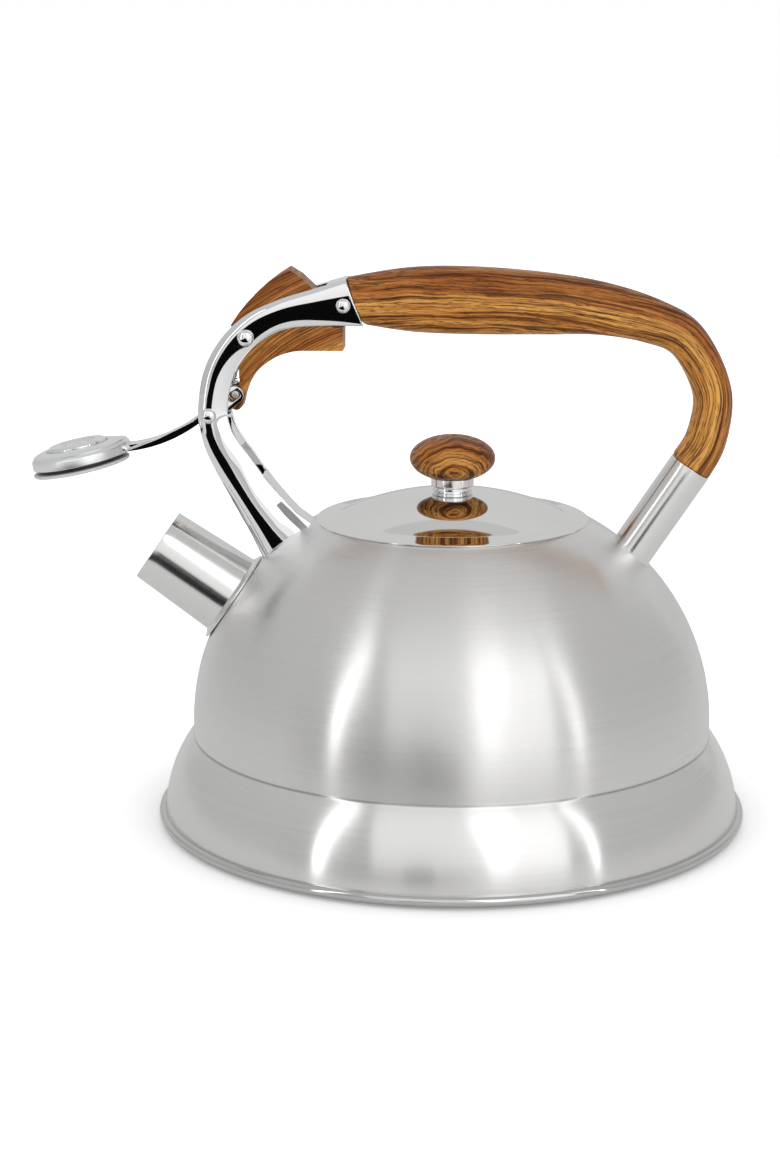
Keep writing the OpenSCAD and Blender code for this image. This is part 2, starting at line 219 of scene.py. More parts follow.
def weighed(tree, first, weight, second):
    """Two masks in one: a weight of the first, and the rest of the second."""
    return plus(tree, times(tree, first, weight), times(tree, second, 1 - weight))


def separate(tree, vector):
    """The X, Y and Z of a vector."""
    node = add(tree, "ShaderNodeSeparateXYZ")
    tree.links.new(vector, node.inputs[0])
    return node.outputs


def combine(tree, *parts):
    """A vector from its X, Y and Z."""
    node = add(tree, "ShaderNodeCombineXYZ")
    for socket, part in zip(node.inputs, parts):
        feed(tree, socket, part)
    return node.outputs[0]


def remap(tree, value, low, high, to_low, to_high):
    node = add(tree, "ShaderNodeMapRange", s_From_Min=low, s_From_Max=high,
               s_To_Min=to_low, s_To_Max=to_high)
    tree.links.new(value, node.inputs["Value"])
    return node.outputs["Result"]


def scaled(tree, vector, scale):
    node = add(tree, "ShaderNodeVectorMath", operation="MULTIPLY")
    tree.links.new(vector, node.inputs[0])
    node.inputs[1].default_value = scale
    return node.outputs[0]


def noise(tree, vector, detail=2.0, roughness=0.5, distortion=0.0):
    node = add(tree, "ShaderNodeTexNoise", s_Scale=1.0, s_Detail=detail, s_Roughness=roughness,
               s_Distortion=distortion)
    tree.links.new(vector, node.inputs["Vector"])
    return node.outputs["Fac"]


def ramp(tree, value, stops):
    """A grey ramp through (place, brightness) stops."""
    node = add(tree, "ShaderNodeValToRGB")
    elements = node.color_ramp.elements
    while len(elements) < len(stops):
        elements.new(0.5)
    for element, (place, grey) in zip(elements, stops):
        element.position = place
        element.color = (grey, grey, grey, 1)
    tree.links.new(value, node.inputs["Fac"])
    return node.outputs["Color"]


def blend_colour(tree, factor, first, second):
    node = add(tree, "ShaderNodeMix", data_type="RGBA")
    for index, value in ((0, factor), (6, first), (7, second)):
        feed(tree, node.inputs[index], value)
    return node.outputs[2]


def new_group(name, inputs, outputs):
    """A shader group with named sockets: (name, type, default) in, (name, type) out."""
    tree = bpy.data.node_groups.new(name, "ShaderNodeTree")
    for label, kind, default in inputs:
        socket = tree.interface.new_socket(label, in_out="INPUT", socket_type=kind)
        if default is not None:
            socket.default_value = default
    for label, kind in outputs:
        tree.interface.new_socket(label, in_out="OUTPUT", socket_type=kind)
    return tree, tree.nodes.new("NodeGroupInput"), tree.nodes.new("NodeGroupOutput")


# ---- shared surface effects ----

def brushed_lines_group():
    """Fine parallel scratches that run round a turned piece, and slow cloudy variation."""
    tree, given, out = new_group(
        "brushed_lines",
        [("Vector", VECTOR, None), ("Fineness", FLOAT, 6.0), ("Length", FLOAT, 1.2)],
        [("Lines", FLOAT), ("Cloud", FLOAT)],
    )
    place, stretch = given.outputs["Vector"], given.outputs["Length"]
    x, y, along = separate(tree, place)
    drawn = combine(tree, times(tree, x, stretch), times(tree, y, stretch),
                    times(tree, along, given.outputs["Fineness"]))
    fine = noise(tree, drawn, detail=3, roughness=0.7)
    coarse = noise(tree, scaled(tree, drawn, (0.8, 0.8, 0.11)), detail=2)
    cloud = noise(tree, scaled(tree, place, (1.4, 1.4, 0.05)), detail=3)
    link_all(tree, [(weighed(tree, fine, 0.65, coarse), out.inputs["Lines"]),
                    (cloud, out.inputs["Cloud"])])
    return tree


def polish_marks_group():
    """Faint wiping marks and hairlines on polished metal."""
    tree, given, out = new_group(
        "polish_marks", [("Vector", VECTOR, None), ("Scale", FLOAT, 30.0)], [("Marks", FLOAT)]
    )
    size = add(tree, "ShaderNodeVectorMath", operation="SCALE")
    link_all(tree, [(given.outputs["Vector"], size.inputs[0]),
                    (given.outputs["Scale"], size.inputs["Scale"])])
    cloud = noise(tree, size.outputs[0], detail=4, distortion=0.8)
    hair = noise(tree, scaled(tree, size.outputs[0], (3.0, 3.0, 40.0)), detail=2)
    tree.links.new(weighed(tree, cloud, 0.7, hair), out.inputs["Marks"])
    return tree


def wood_figure_group():
    """Printed olive-wood figure: X runs along the grain and Y across it, in millimetres."""
    tree, given, out = new_group(
        "wood_figure",
        [("Vector", VECTOR, None), ("Light", COLOUR, (1, 1, 1, 1)), ("Middle", COLOUR, (1, 1, 1, 1)),
         ("Dark", COLOUR, (0, 0, 0, 1)), ("Wander", FLOAT, 9.0), ("Red_From", FLOAT, 3.0),
         ("Red_To", FLOAT, 10.0)],
        [("Colour", COLOUR), ("Pores", FLOAT)],
    )
    place, red_from = given.outputs["Vector"], given.outputs["Red_From"]
    drift = noise(tree, scaled(tree, place, (0.016, 0.035, 0.02)), detail=2)
    x, y, z = separate(tree, place)
    across = plus(tree, y, times(tree, minus(tree, drift, 0.5), given.outputs["Wander"]))
    grain = combine(tree, x, across, z)

    def layer(stretch, detail, roughness):
        return noise(tree, scaled(tree, grain, stretch), detail=detail, roughness=roughness)
    broad = layer((0.010, 0.26, 0.05), 3, 0.55)
    narrow = layer((0.022, 1.05, 0.16), 4, 0.6)
    streak = layer((0.05, 2.3, 0.5), 3, 0.55)
    pore = layer((0.26, 4.2, 1.2), 2, 0.5)

    # Redder across the grain, from Red_From to Red_To
    reach = minus(tree, plus(tree, across, times(tree, broad, 4.0)), red_from)
    span = minus(tree, given.outputs["Red_To"], red_from)
    red = times(tree, remap(tree, math_node(tree, "DIVIDE", reach, span), 0, 1, 0, 1), 0.45)
    lively = remap(tree, weighed(tree, broad, 0.55, narrow), 0.38, 0.61, 0, 1)
    body = ramp(tree, minus(tree, lively, red), [(0.0, 0.0), (0.45, 0.5), (1.0, 1.0)])
    shade = blend_colour(tree, body, given.outputs["Middle"], given.outputs["Light"])
    shade = blend_colour(tree, red, shade, (0.20, 0.045, 0.012))

    bands = ramp(tree, narrow, [(0.36, 0.95), (0.43, 0.5), (0.50, 0.0)])
    streaks = ramp(tree, streak, [(0.38, 1.0), (0.43, 0.5), (0.48, 0.0)])
    pores = ramp(tree, pore, [(0.34, 1.0), (0.40, 0.5), (0.44, 0.0)])
    for mask, weight in ((bands, 1), (streaks, 0.75), (pores, 0.85)):
        shade = blend_colour(tree, times(tree, mask, weight), shade, given.outputs["Dark"])
    link_all(tree, [(shade, out.inputs["Colour"]),
                    (weighed(tree, pores, 0.6, streaks), out.inputs["Pores"])])
    return tree


GROUPS = {"brushed_lines": brushed_lines_group, "polish_marks": polish_marks_group,
          "wood_figure": wood_figure_group}


# ---- materials ----

def put_group(tree, name, vector, **values):
    """Puts a shared group in a material with its own values."""
    node = tree.nodes.new("ShaderNodeGroup")
    node.node_tree = bpy.data.node_groups.get(name) or GROUPS[name]()
    tree.links.new(vector, node.inputs["Vector"])
    for key, value in values.items():
        node.inputs[key].default_value = value
    return node


def start_material(name, **shader):
    """A new material and its Principled shader; shader values are set on its own sockets."""
    material = bpy.data.materials.new(name)
    material.use_nodes = True
    tree = material.node_tree
    principled = tree.nodes["Principled BSDF"]
    for key, value in shader.items():
        principled.inputs[key.replace("_", " ")].default_value = value
    return material, tree, principled


def attribute(tree, name):
    return add(tree, "ShaderNodeAttribute", attribute_name=name).outputs["Vector"]


def object_place(tree, scale=(1, 1, 1), shift=(0, 0, 0)):
    """Object coordinates through a Mapping node."""
    mapping = add(tree, "ShaderNodeMapping", s_Scale=scale, s_Location=shift)
    tree.links.new(add(tree, "ShaderNodeTexCoord").outputs["Object"], mapping.inputs["Vector"])
    return mapping.outputs["Vector"]


def bump(tree, principled, height, strength, distance, under=None):
    """Raises a surface by a height mask; under is the normal that it starts from."""
    node = add(tree, "ShaderNodeBump", s_Strength=strength, s_Distance=distance)
    tree.links.new(height, node.inputs["Height"])
    if under:
        tree.links.new(under, node.inputs["Normal"])
    tree.links.new(node.outputs["Normal"], principled.inputs["Normal"])


def mottle(tree, principled, mask, darker, shade):
    """Base colour between a darker share of a shade, where the mask is nought, and the shade."""
    tree.links.new(blend_colour(tree, mask, tuple(c * darker for c in shade), tuple(shade)),
                   principled.inputs["Base Color"])


def brushed(name, roughness, spread, anisotropy, fineness=7.0, skirt_roughness=None):
    """Turned and brushed steel: fine lines run round the piece and draw its highlights out.

    A skirt_roughness is for the body, whose skirt is polished further than its dome.
    """
    material, tree, principled = start_material(
        name, Metallic=1.0, Roughness=roughness, Anisotropic=anisotropy, Anisotropic_Rotation=0.25)
    marks = put_group(tree, "brushed_lines", attribute(tree, "turning"), Fineness=fineness)
    lines, cloud = marks.outputs["Lines"], marks.outputs["Cloud"]
    mottle(tree, principled, remap(tree, lines, *NOISE_SPAN, 0, 1), 0.93, finish().steel)
    soft = plus(tree, remap(tree, lines, *NOISE_SPAN, -spread, spread),
                remap(tree, cloud, *NOISE_SPAN, -spread * 0.6, spread * 0.6))
    level, waves = roughness, None
    if skirt_roughness:
        # Painted shade: the body's colour darkens along the fold between dome and skirt
        painted_crease_shade(tree, principled)
        level = remap(tree, separate(tree, object_place(tree))[2], (CREASE_Z - 0.6) * MM,
                      (CREASE_Z + 0.6) * MM, skirt_roughness, roughness)
        waves = pressed_waves(tree)
    tree.links.new(plus(tree, soft, level), principled.inputs["Roughness"])
    bump(tree, principled, lines, 0.02, 0.0002, waves)
    tangent = add(tree, "ShaderNodeTangent", direction_type="UV_MAP", uv_map="around")
    tree.links.new(tangent.outputs["Tangent"], principled.inputs["Tangent"])
    return material


def pressed_waves(tree):
    """The slow unevenness of pressed sheet, as a normal."""
    node = add(tree, "ShaderNodeBump", s_Strength=1.0, s_Distance=0.0011)
    tree.links.new(noise(tree, object_place(tree, scale=(24, 24, 9)), detail=1), node.inputs["Height"])
    return node.outputs["Normal"]


def painted_crease_shade(tree, principled):
    """Paints shade into the metal's colour along the thin fold between dome and skirt."""
    spot = object_place(tree, scale=IN_MM, shift=(0, 0, -CREASE_Z))
    away = math_node(tree, "ABSOLUTE", separate(tree, spot)[2])
    fold = times(tree, remap(tree, away, 0.1, 0.6, 1, 0), 0.45)
    base = principled.inputs["Base Color"]
    metal = base.links[0].from_socket
    tree.links.new(blend_colour(tree, fold, metal, (0.05, 0.05, 0.05)), base)


def polished(name, shade, roughness, spread, scale=30.0):
    """Mirror-polished metal with faint wiping marks."""
    material, tree, principled = start_material(name, Metallic=1.0, Roughness=roughness)
    marks = put_group(tree, "polish_marks", object_place(tree), Scale=scale).outputs["Marks"]
    mottle(tree, principled, remap(tree, marks, *NOISE_SPAN, 0, 1), 0.97, shade)
    tree.links.new(remap(tree, marks, 0.35, 0.7, max(roughness - spread, 0.01), roughness + spread),
                   principled.inputs["Roughness"])
    return material


def wooden(name, vector, wander, red=(3.0, 10.0)):
    """Wood print under a satin lacquer; vector makes the grain's place in millimetres."""
    looks = finish()
    material, tree, principled = start_material(
        name, Roughness=0.42, Coat_Weight=0.04, Coat_Roughness=0.25, Specular_IOR_Level=0.16)
    figure = put_group(tree, "wood_figure", vector(tree), Wander=wander, Red_From=red[0], Red_To=red[1],
                       Light=(*looks.wood_light, 1), Middle=(*looks.wood_mid, 1),
                       Dark=(*looks.wood_dark, 1))
    pores = figure.outputs["Pores"]
    tree.links.new(figure.outputs["Colour"], principled.inputs["Base Color"])
    tree.links.new(remap(tree, pores, 0, 1, 0.33, 0.48), principled.inputs["Roughness"])
    bump(tree, principled, minus(tree, 1.0, pores), 0.12, 0.0003)
    return material


def from_axis(tree, x, z):
    """Distance and angle from an axis along Y."""
    squares = [math_node(tree, "POWER", math_node(tree, "ABSOLUTE", part), 2.0) for part in (x, z)]
    return math_node(tree, "SQRT", plus(tree, *squares)), math_node(tree, "ARCTAN2", z, x)


def handle_grain(tree):
    """The grip's own grain, which follows its bend."""
    return attribute(tree, "grain")


def knob_grain(tree):
    """Growth rings round a level axis that shows low on the knob's front."""
    spot = object_place(tree, scale=IN_MM, shift=(-2, 0, -(KNOB_Z + 3.5)))
    x, y, z = separate(tree, spot)
    wobble = noise(tree, scaled(tree, spot, (0.12, 0.05, 0.12)), detail=2)
    ring, angle = from_axis(tree, times(tree, x, 0.66), z)
    return combine(tree, times(tree, angle, 7.0), plus(tree, ring, times(tree, wobble, 3.0)),
                   times(tree, y, 0.4))


def trigger_grain(tree):
    """Long arcs that climb towards the grip."""
    x, y, z = separate(tree, object_place(tree, scale=IN_MM, shift=(20, 0, -120)))
    ring, angle = from_axis(tree, x, z)
    return combine(tree, times(tree, angle, 40.0), ring, y)


def plain_finish(name, shade, roughness, metallic, grit, strength=0.1):
    """An everyday finish with a little mottling, for seals, washers and hidden hardware."""
    material, tree, principled = start_material(name, Metallic=metallic, Roughness=roughness)
    speck = noise(tree, object_place(tree, scale=(grit, grit, grit)), detail=4)
    mottle(tree, principled, speck, 0.82, shade)
    tree.links.new(remap(tree, speck, *NOISE_SPAN, roughness - 0.05, roughness + 0.08),
                   principled.inputs["Roughness"])
    bump(tree, principled, speck, strength, 0.0002)
    return material


FINISHES = {
    "satin_body": lambda name, looks: brushed(
        name, looks.body_roughness, 0.035, looks.brushing, skirt_roughness=0.22),
    "brushed_tube": lambda name, looks: brushed(name, 0.17, 0.03, 0.55, fineness=9.0),
    "polished_steel": lambda name, looks: polished(name, looks.steel, 0.045, 0.02),
    "bright_chrome": lambda name, looks: polished(name, looks.chrome, 0.03, 0.015, 60.0),
    "satin_chrome": lambda name, looks: polished(name, looks.chrome, 0.36, 0.02),
    # The bead's polished steel is painted darker than the body's: painted shade and dark reflection along the
    # rolled bead
    "rolled_edge": lambda name, looks: polished(name, (0.60, 0.60, 0.59), 0.08, 0.03),
    # Near-black steel for the whistle's inner plate: painted shade in the gap between cover and seal
    "shaded_steel": lambda name, looks: plain_finish(name, (0.05, 0.05, 0.05), 0.4, 0.5, 600),
    "grip_wood": lambda name, looks: wooden(name, handle_grain, 11.0),
    "knob_wood": lambda name, looks: wooden(name, knob_grain, 2.0, (6.0, 17.0)),
    "trigger_wood": lambda name, looks: wooden(name, trigger_grain, 4.0, (52.0, 92.0)),
    "silicone_seal": lambda name, looks: plain_finish(name, looks.silicone, 0.45, 0.0, 400),
    "black_rubber": lambda name, looks: plain_finish(name, looks.rubber, 0.6, 0.0, 500),
    "cast_aluminium": lambda name, looks: plain_finish(name, looks.aluminium, 0.45, 1.0, 700),
    "plain_steel": lambda name, looks: plain_finish(name, looks.steel, 0.32, 1.0, 600, 0.05),
    "spring_steel": lambda name, looks: plain_finish(name, (0.55, 0.55, 0.56), 0.28, 1.0, 900, 0.05),
}


def material_of(name):
    """The named material, made on first use."""
    return bpy.data.materials.get(name) or FINISHES[name](name, finish())


# ---- mesh helpers ----

def arc(centre, radius, start, end, count):
    """Points of an arc, angles in degrees."""
    turns = [math.radians(start + (end - start) * i / count) for i in range(count + 1)]
    return [(centre[0] + radius * math.cos(a), centre[1] + radius * math.sin(a)) for a in turns]


def soften(corners, count=4):
    """An outline through (x, z) points; one given as (x, z, radius) is rounded."""
    out = []
    for i, corner in enumerate(corners):
        if len(corner) == 2:
            out.append(tuple(corner))
            continue
        here = Vector(corner[:2])
        back = Vector(corners[i - 1][:2]) - here
        ahead = Vector(corners[(i + 1) % len(corners)][:2]) - here
        reach = corner[2] / math.tan(max(back.angle(ahead), 0.05) / 2)
        first = here + back.normalized() * min(reach, 0.48 * back.length)
        last = here + ahead.normalized() * min(reach, 0.48 * ahead.length)
        for k in range(count + 1):
            t = k / count
            out.append(tuple((1 - t) ** 2 * first + 2 * t * (1 - t) * here + t * t * last))
    return out


def leaning(at, tilt):
    """Local +Z leans by tilt degrees from the vertical in the handle plane; millimetres."""
    return Matrix.Translation((at[0], 0, at[1])) @ Matrix.Rotation(math.radians(tilt), 4, "Y")


ON_SPOUT = leaning(MOUTH, SPOUT_RISE - 90)
ON_POST = leaning(POST_FOOT, POST_TILT)
# The cap sits on the spout's mouth when the arm has swung back, and 1.2 mm towards the arm
ON_CAP = (leaning(ARM_PIN, WHISTLE_SWING) @ Matrix.Translation((-ARM_PIN[0], 0, -ARM_PIN[1]))
          @ ON_SPOUT @ Matrix.Translation((1.2, 0, 0)))


def new_object(name, data):
    """An object in the scene that shows a mesh, a light or a camera."""
    made = bpy.data.objects.new(name, data)
    bpy.context.scene.collection.objects.link(made)
    return made


def face_outwards(mesh):
    shape = bmesh.new()
    shape.from_mesh(mesh)
    bmesh.ops.recalc_face_normals(shape, faces=shape.faces)
    shape.to_mesh(mesh)
    shape.free()


def piece_from(name, points, faces):
    """A mesh object from points in millimetres."""
    mesh = bpy.data.meshes.new(name)
    mesh.from_pydata([Vector(p) * MM for p in points], [], faces)
    return new_object(name, mesh)


def lathe(name, outline, steps=128, where=None, change=None):
    """Turns an outline of (radius, height) about Z; one that starts and ends on the axis closes there.

    The change may move each placed point. The piece gets a UV map "around" and a point attribute
    "turning" that brushed finishes follow.
    """
    where = where or Matrix.Identity(4)
    closed = outline[0][0] > 1e-6
    run, along = 0.0, []
    for i, point in enumerate(outline):
        run += math.dist(point, outline[i - 1]) if i else 0.0
        along.append(run)
    points, turning, rows = [], [], []
    for i, (radius, height) in enumerate(outline):
        if radius <= 1e-6:
            rows.append([len(points)] * steps)
            points.append((0, 0, height))
            turning.append((0, 0, along[i]))
            continue
        rows.append(list(range(len(points), len(points) + steps)))
        for j in range(steps):
            a = 2 * math.pi * j / steps
            points.append((radius * math.cos(a), radius * math.sin(a), height))
            turning.append((math.cos(a), math.sin(a), along[i]))
    faces, uvs = [], []
    spans = len(outline) if closed else len(outline) - 1
    for i in range(spans):
        k = (i + 1) % len(outline)
        for j in range(steps):
            n = (j + 1) % steps
            ring = [(rows[i][j], j, i), (rows[i][n], j + 1, i),
                    (rows[k][n], j + 1, i + 1), (rows[k][j], j, i + 1)]
            seen, face, uv = set(), [], []
            for vertex, u, v in ring:
                if vertex not in seen:
                    seen.add(vertex)
                    face.append(vertex)
                    uv.append((u / steps, v / spans))
            faces.append(face)
            uvs.append(uv)
    if change:
        points = [change(where @ Vector(p), i // steps) for i, p in enumerate(points)]
    else:
        points = [where @ Vector(p) for p in points]
    piece = piece_from(name, points, faces)
    mesh = piece.data
    layer = mesh.uv_layers.new(name="around")
    for polygon, uv in zip(mesh.polygons, uvs):
        for loop, value in zip(polygon.loop_indices, uv):
            layer.data[loop].uv = value
    store = mesh.attributes.new("turning", "FLOAT_VECTOR", "POINT")
    store.data.foreach_set("vector", [c for t in turning for c in t])
    face_outwards(mesh)
    return piece


def settle(piece):
    """Turns a piece's modifiers into plain mesh."""
    graph = bpy.context.evaluated_depsgraph_get()
    mesh = bpy.data.meshes.new_from_object(piece.evaluated_get(graph), depsgraph=graph)
    piece.modifiers.clear()
    piece.data = mesh
    return piece


def smooth(piece, angle):
    piece.data.shade_smooth()
    piece.data.set_sharp_from_angle(angle=math.radians(angle))
    return piece


def dress(piece, body, material, slot, *nodes):
    """Gives a finished piece its finish and its body, and hides the frame's nodes that it stands for."""
    if material:
        piece.data.materials.clear()
        piece.data.materials.append(material_of(material))
    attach(piece, body)
    if nodes:
        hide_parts(*nodes)
    return piece


def round_edges(piece, width, segments, angle):
    bevel = piece.modifiers.new("rounded edges", "BEVEL")
    bevel.width = width * MM
    bevel.segments = segments
    bevel.limit_method = "ANGLE"
    bevel.angle_limit = math.radians(angle)
    bevel.use_clamp_overlap = True
    return piece


def merged_copy(name, node):
    """A copy of a node's mesh, merged and with its flat faces joined, ready for rounded edges."""
    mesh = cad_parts[node].data.copy()
    mesh.name = name
    mesh.materials.clear()
    shape = bmesh.new()
    shape.from_mesh(mesh)
    bmesh.ops.remove_doubles(shape, verts=shape.verts, dist=0.01 * MM)
    bmesh.ops.dissolve_limit(shape, angle_limit=math.radians(1), verts=shape.verts, edges=shape.edges)
    shape.to_mesh(mesh)
    shape.free()
    return new_object(name, mesh)


def cut_with(piece, tool):
    """Cuts a piece with another closed shape, then drops that shape."""
    boolean = piece.modifiers.new("cut", "BOOLEAN")
    boolean.operation = "DIFFERENCE"
    boolean.solver = "EXACT"
    boolean.object = tool
    settle(piece)
    bpy.data.objects.remove(tool)
    return piece


def onto_dome(point, direction, depth=0.4):
    """Slides a point along a direction (millimetres) until it is a little under the dome's skin."""
    target = mm(sizes().dome_radius) - depth

    def over(t):
        p = point + direction * t
        return math.dist((math.hypot(p.x, p.y), p.z), DOME_CENTRE) - target
    low, high = -30.0, 30.0
    for _ in range(50):
        middle = (low + high) / 2
        if over(middle) > 0:
            low = middle
        else:
            high = middle
    return point + direction * high


def catmull(rows, per):
    """Smooth values between rows of numbers, per steps to a span."""
    out, last = [], len(rows) - 1
    for k in range(last * per + 1):
        i = min(k // per, last - 1)
        t = k / per - i
        a, b, c, d = (rows[max(0, min(last, i + o))] for o in (-1, 0, 1, 2))
        out.append([0.5 * (2 * q + (r - p) * t + (2 * p - 5 * q + 4 * r - s) * t * t
                           + (3 * q - p - 3 * r + s) * t ** 3) for p, q, r, s in zip(a, b, c, d)])
    return out


# ---- studio ----

def card(name, centre, size, aim=None):
    """A flat rectangle centred on a point, facing up or towards aim; metres."""
    x, y = size[0] / 2, size[1] / 2
    turn = Matrix.Identity(3)
    if aim:
        turn = (Vector(aim) - Vector(centre)).to_track_quat("Z", "Y").to_matrix()
    corners = [(-x, -y, 0), (x, -y, 0), (x, y, 0), (-x, y, 0)]
    mesh = bpy.data.meshes.new(name)
    mesh.from_pydata([turn @ Vector(p) + Vector(centre) for p in corners], [], [(0, 1, 2, 3)])
    piece = new_object(name, mesh)
    return piece


# Name, azimuth, elevation, distance, size and radiance; azimuth nought is in front, 90 on the right
SOFT_LIGHTS = (
    ("key_window", 31, 24, 1.25, (0.78, 1.2), 0.80),
    ("key_veil", -2, 28, 1.30, (1.25, 1.3), 0.42),
    ("left_strip", -46, 18, 1.2, (0.10, 1.3), 2.6),
    ("right_strip", 58, 18, 1.2, (0.035, 1.2), 4.5),
    ("backdrop", 180, 26, 1.5, (3.0, 1.3), 0.11),
)
LIGHT_AIM = Vector((0, 0, 0.09))
# Name, centre, size and aim of the dark cards that only reflections see
FLAGS = (
    ("low_flag", (-0.20, -0.65, 0.004), (0.46, 0.92), None),
    ("camera_flag", (-0.19, -1.12, 0.06), (0.24, 0.12), (-0.19, 0, 0.06)),
)
# The floor's painted glow, which only the camera sees: weakest beside the base and rising to where the floor
# turns white
SHADE_RADII = (0.106, 0.17)
FLOOR_PAINTED_GLOW = (0.24, 0.75)


def soft_light(name, azimuth, elevation, distance, size, radiance):
    """A rectangular light that the camera does not see."""
    a, e = math.radians(azimuth), math.radians(elevation)
    data = bpy.data.lights.new(name, "AREA")
    data.shape = "RECTANGLE"
    data.size, data.size_y = size
    data.energy = radiance * math.pi * size[0] * size[1]
    light = new_object(name, data)
    light.location = LIGHT_AIM + distance * Vector(
        (math.sin(a) * math.cos(e), -math.cos(a) * math.cos(e), math.sin(e)))
    light.rotation_euler = (LIGHT_AIM - light.location).to_track_quat("-Z", "Y").to_euler()
    light.visible_camera = False


def place_camera(studio):
    data = bpy.data.cameras.new("camera")
    data.lens, data.sensor_width, data.sensor_fit = studio.lens, 36, "AUTO"
    data.clip_start, data.clip_end = 0.01, 50
    camera = new_object("camera", data)
    camera.location = studio.camera_at
    camera.rotation_euler = Vector(studio.camera_aim).to_track_quat("-Z", "Y").to_euler()
    bpy.context.scene.camera = camera


def lay_floor(studio):
    """A pale floor with a painted glow that only the camera sees: weakest beside the base, so that the shadow
    under the kettle stays, and white further out.
    """
    floor = card("floor", (0, 0, 0), (8, 8))
    material, tree, principled = start_material(
        "pale_floor", Roughness=0.55, Specular_IOR_Level=0.25, Emission_Color=(1, 1, 1, 1))
    grain = noise(tree, object_place(tree, scale=(3, 3, 3)), detail=2)
    mottle(tree, principled, grain, 0.985, studio.floor_colour)
    away = add(tree, "ShaderNodeVectorMath", operation="LENGTH")
    tree.links.new(object_place(tree, scale=(1, 1, 0)), away.inputs[0])
    # Painted light: the floor glows to the camera, least beside the base
    glow = remap(tree, away.outputs["Value"], *SHADE_RADII, *FLOOR_PAINTED_GLOW)
    seen = add(tree, "ShaderNodeLightPath").outputs["Is Camera Ray"]
    tree.links.new(times(tree, glow, seen), principled.inputs["Emission Strength"])
    floor.data.materials.append(material)


def hang_flags():
    """Dark cards that the metal mirrors."""
    black, _, _ = start_material(
        "black_cloth", Roughness=1.0, Base_Color=(0.004, 0.004, 0.004, 1), Specular_IOR_Level=0.0)
    for name, centre, size, aim in FLAGS:
        flag = card(name, centre, size, aim)
        flag.visible_camera = flag.visible_diffuse = flag.visible_shadow = False
        flag.data.materials.append(black)


def light_room(studio):
    """White to the camera, and a little brighter overhead to everything else."""
    world = bpy.data.worlds.new("studio")
    bpy.context.scene.world = world
    world.use_nodes = True
    tree = world.node_tree
    tree.nodes.clear()
    height = separate(tree, add(tree, "ShaderNodeTexCoord").outputs["Generated"])[2]
    sky = ramp(tree, remap(tree, height, -0.4, 1.0, 0, 1),
               [(0.0, 0.75), (0.30, 0.92), (0.55, 1.0), (1.0, 1.15)])
    room = add(tree, "ShaderNodeBackground", s_Strength=studio.sky)
    white = add(tree, "ShaderNodeBackground", s_Color=(1, 1, 1, 1), s_Strength=1.0)
    mix = tree.nodes.new("ShaderNodeMixShader")
    link_all(tree, [
        (sky, room.inputs["Color"]),
        (add(tree, "ShaderNodeLightPath").outputs["Is Camera Ray"], mix.inputs[0]),
        (room.outputs[0], mix.inputs[1]), (white.outputs[0], mix.inputs[2]),
        (mix.outputs[0], tree.nodes.new("ShaderNodeOutputWorld").inputs["Surface"])])


class KETTLE_OT_studio(bpy.types.Operator):
    """Pale floor, soft light and the camera"""
    bl_idname = "kettle.studio"
    bl_label = "Studio"

    def execute(self, context):
        studio = context.scene.kettle_studio
        context.scene.view_settings.view_transform = "Standard"
        place_camera(studio)
        lay_floor(studio)
        hang_flags()
        for light in SOFT_LIGHTS:
            soft_light(*light)
        light_room(studio)
        return {"FINISHED"}


# ---- body ----

def body_outline(s):
    """Closed section of the drawn body: skirt, dome, the step for the lid, the neck, and back inside."""
    dome, skirt, sheet = mm(s.dome_radius), mm(s.skirt_radius), mm(s.sheet)

    def low(centre, radius):
        return math.degrees(math.asin((CREASE_Z - centre[1]) / radius))
    outer_skirt = arc(SKIRT_CENTRE, skirt, 1.7, low(SKIRT_CENTRE, skirt), 18)
    outer_dome = arc(DOME_CENTRE, dome, low(DOME_CENTRE, dome), 63.2, 56)
    inner_dome = arc(DOME_CENTRE, dome - sheet, 62.9, low(DOME_CENTRE, dome - sheet), 26)
    inner_skirt = arc(SKIRT_CENTRE, skirt - sheet, low(SKIRT_CENTRE, skirt - sheet), 1.7, 8)
    rim = [(49.95, 112.75, 0.3), (49.25, 112.75, 0.3), (49.2, LEDGE_Z, 0.4), (45.5, LEDGE_Z, 0.9),
           (45.4, 104, 0.3), (46.2, 104, 0.3), (46.2, 109.8, 0.6), (49.9, 109.8, 0.4)]
    corners = (outer_skirt[:-1] + [(*outer_dome[0], 2.4)] + outer_dome[1:] + rim
               + inner_dome[:-1] + [(*inner_dome[-1], 1.4)] + inner_skirt[1:])
    return soften(corners, 5)


SEAT_REACH = 82.5  # from the dome's centre to the flat under the spout's collar


def press_seat(point, inset):
    """Flattens the dome where the spout's collar sits; inset is the depth under its skin."""
    axis = (ON_SPOUT.to_3x3() @ Vector((0, 0, 1))).normalized()
    centre = Vector((-DOME_CENTRE[0], 0, DOME_CENTRE[1]))
    seat = SEAT_REACH - inset
    height = (point - centre).dot(axis)
    over = height - seat
    if over < -3:
        return point
    pressed = 0.5 * (height + seat - math.sqrt(over * over + 0.3))
    fade = min(1.0, (over + 3) / 2)
    return point + axis * (pressed - height) * fade


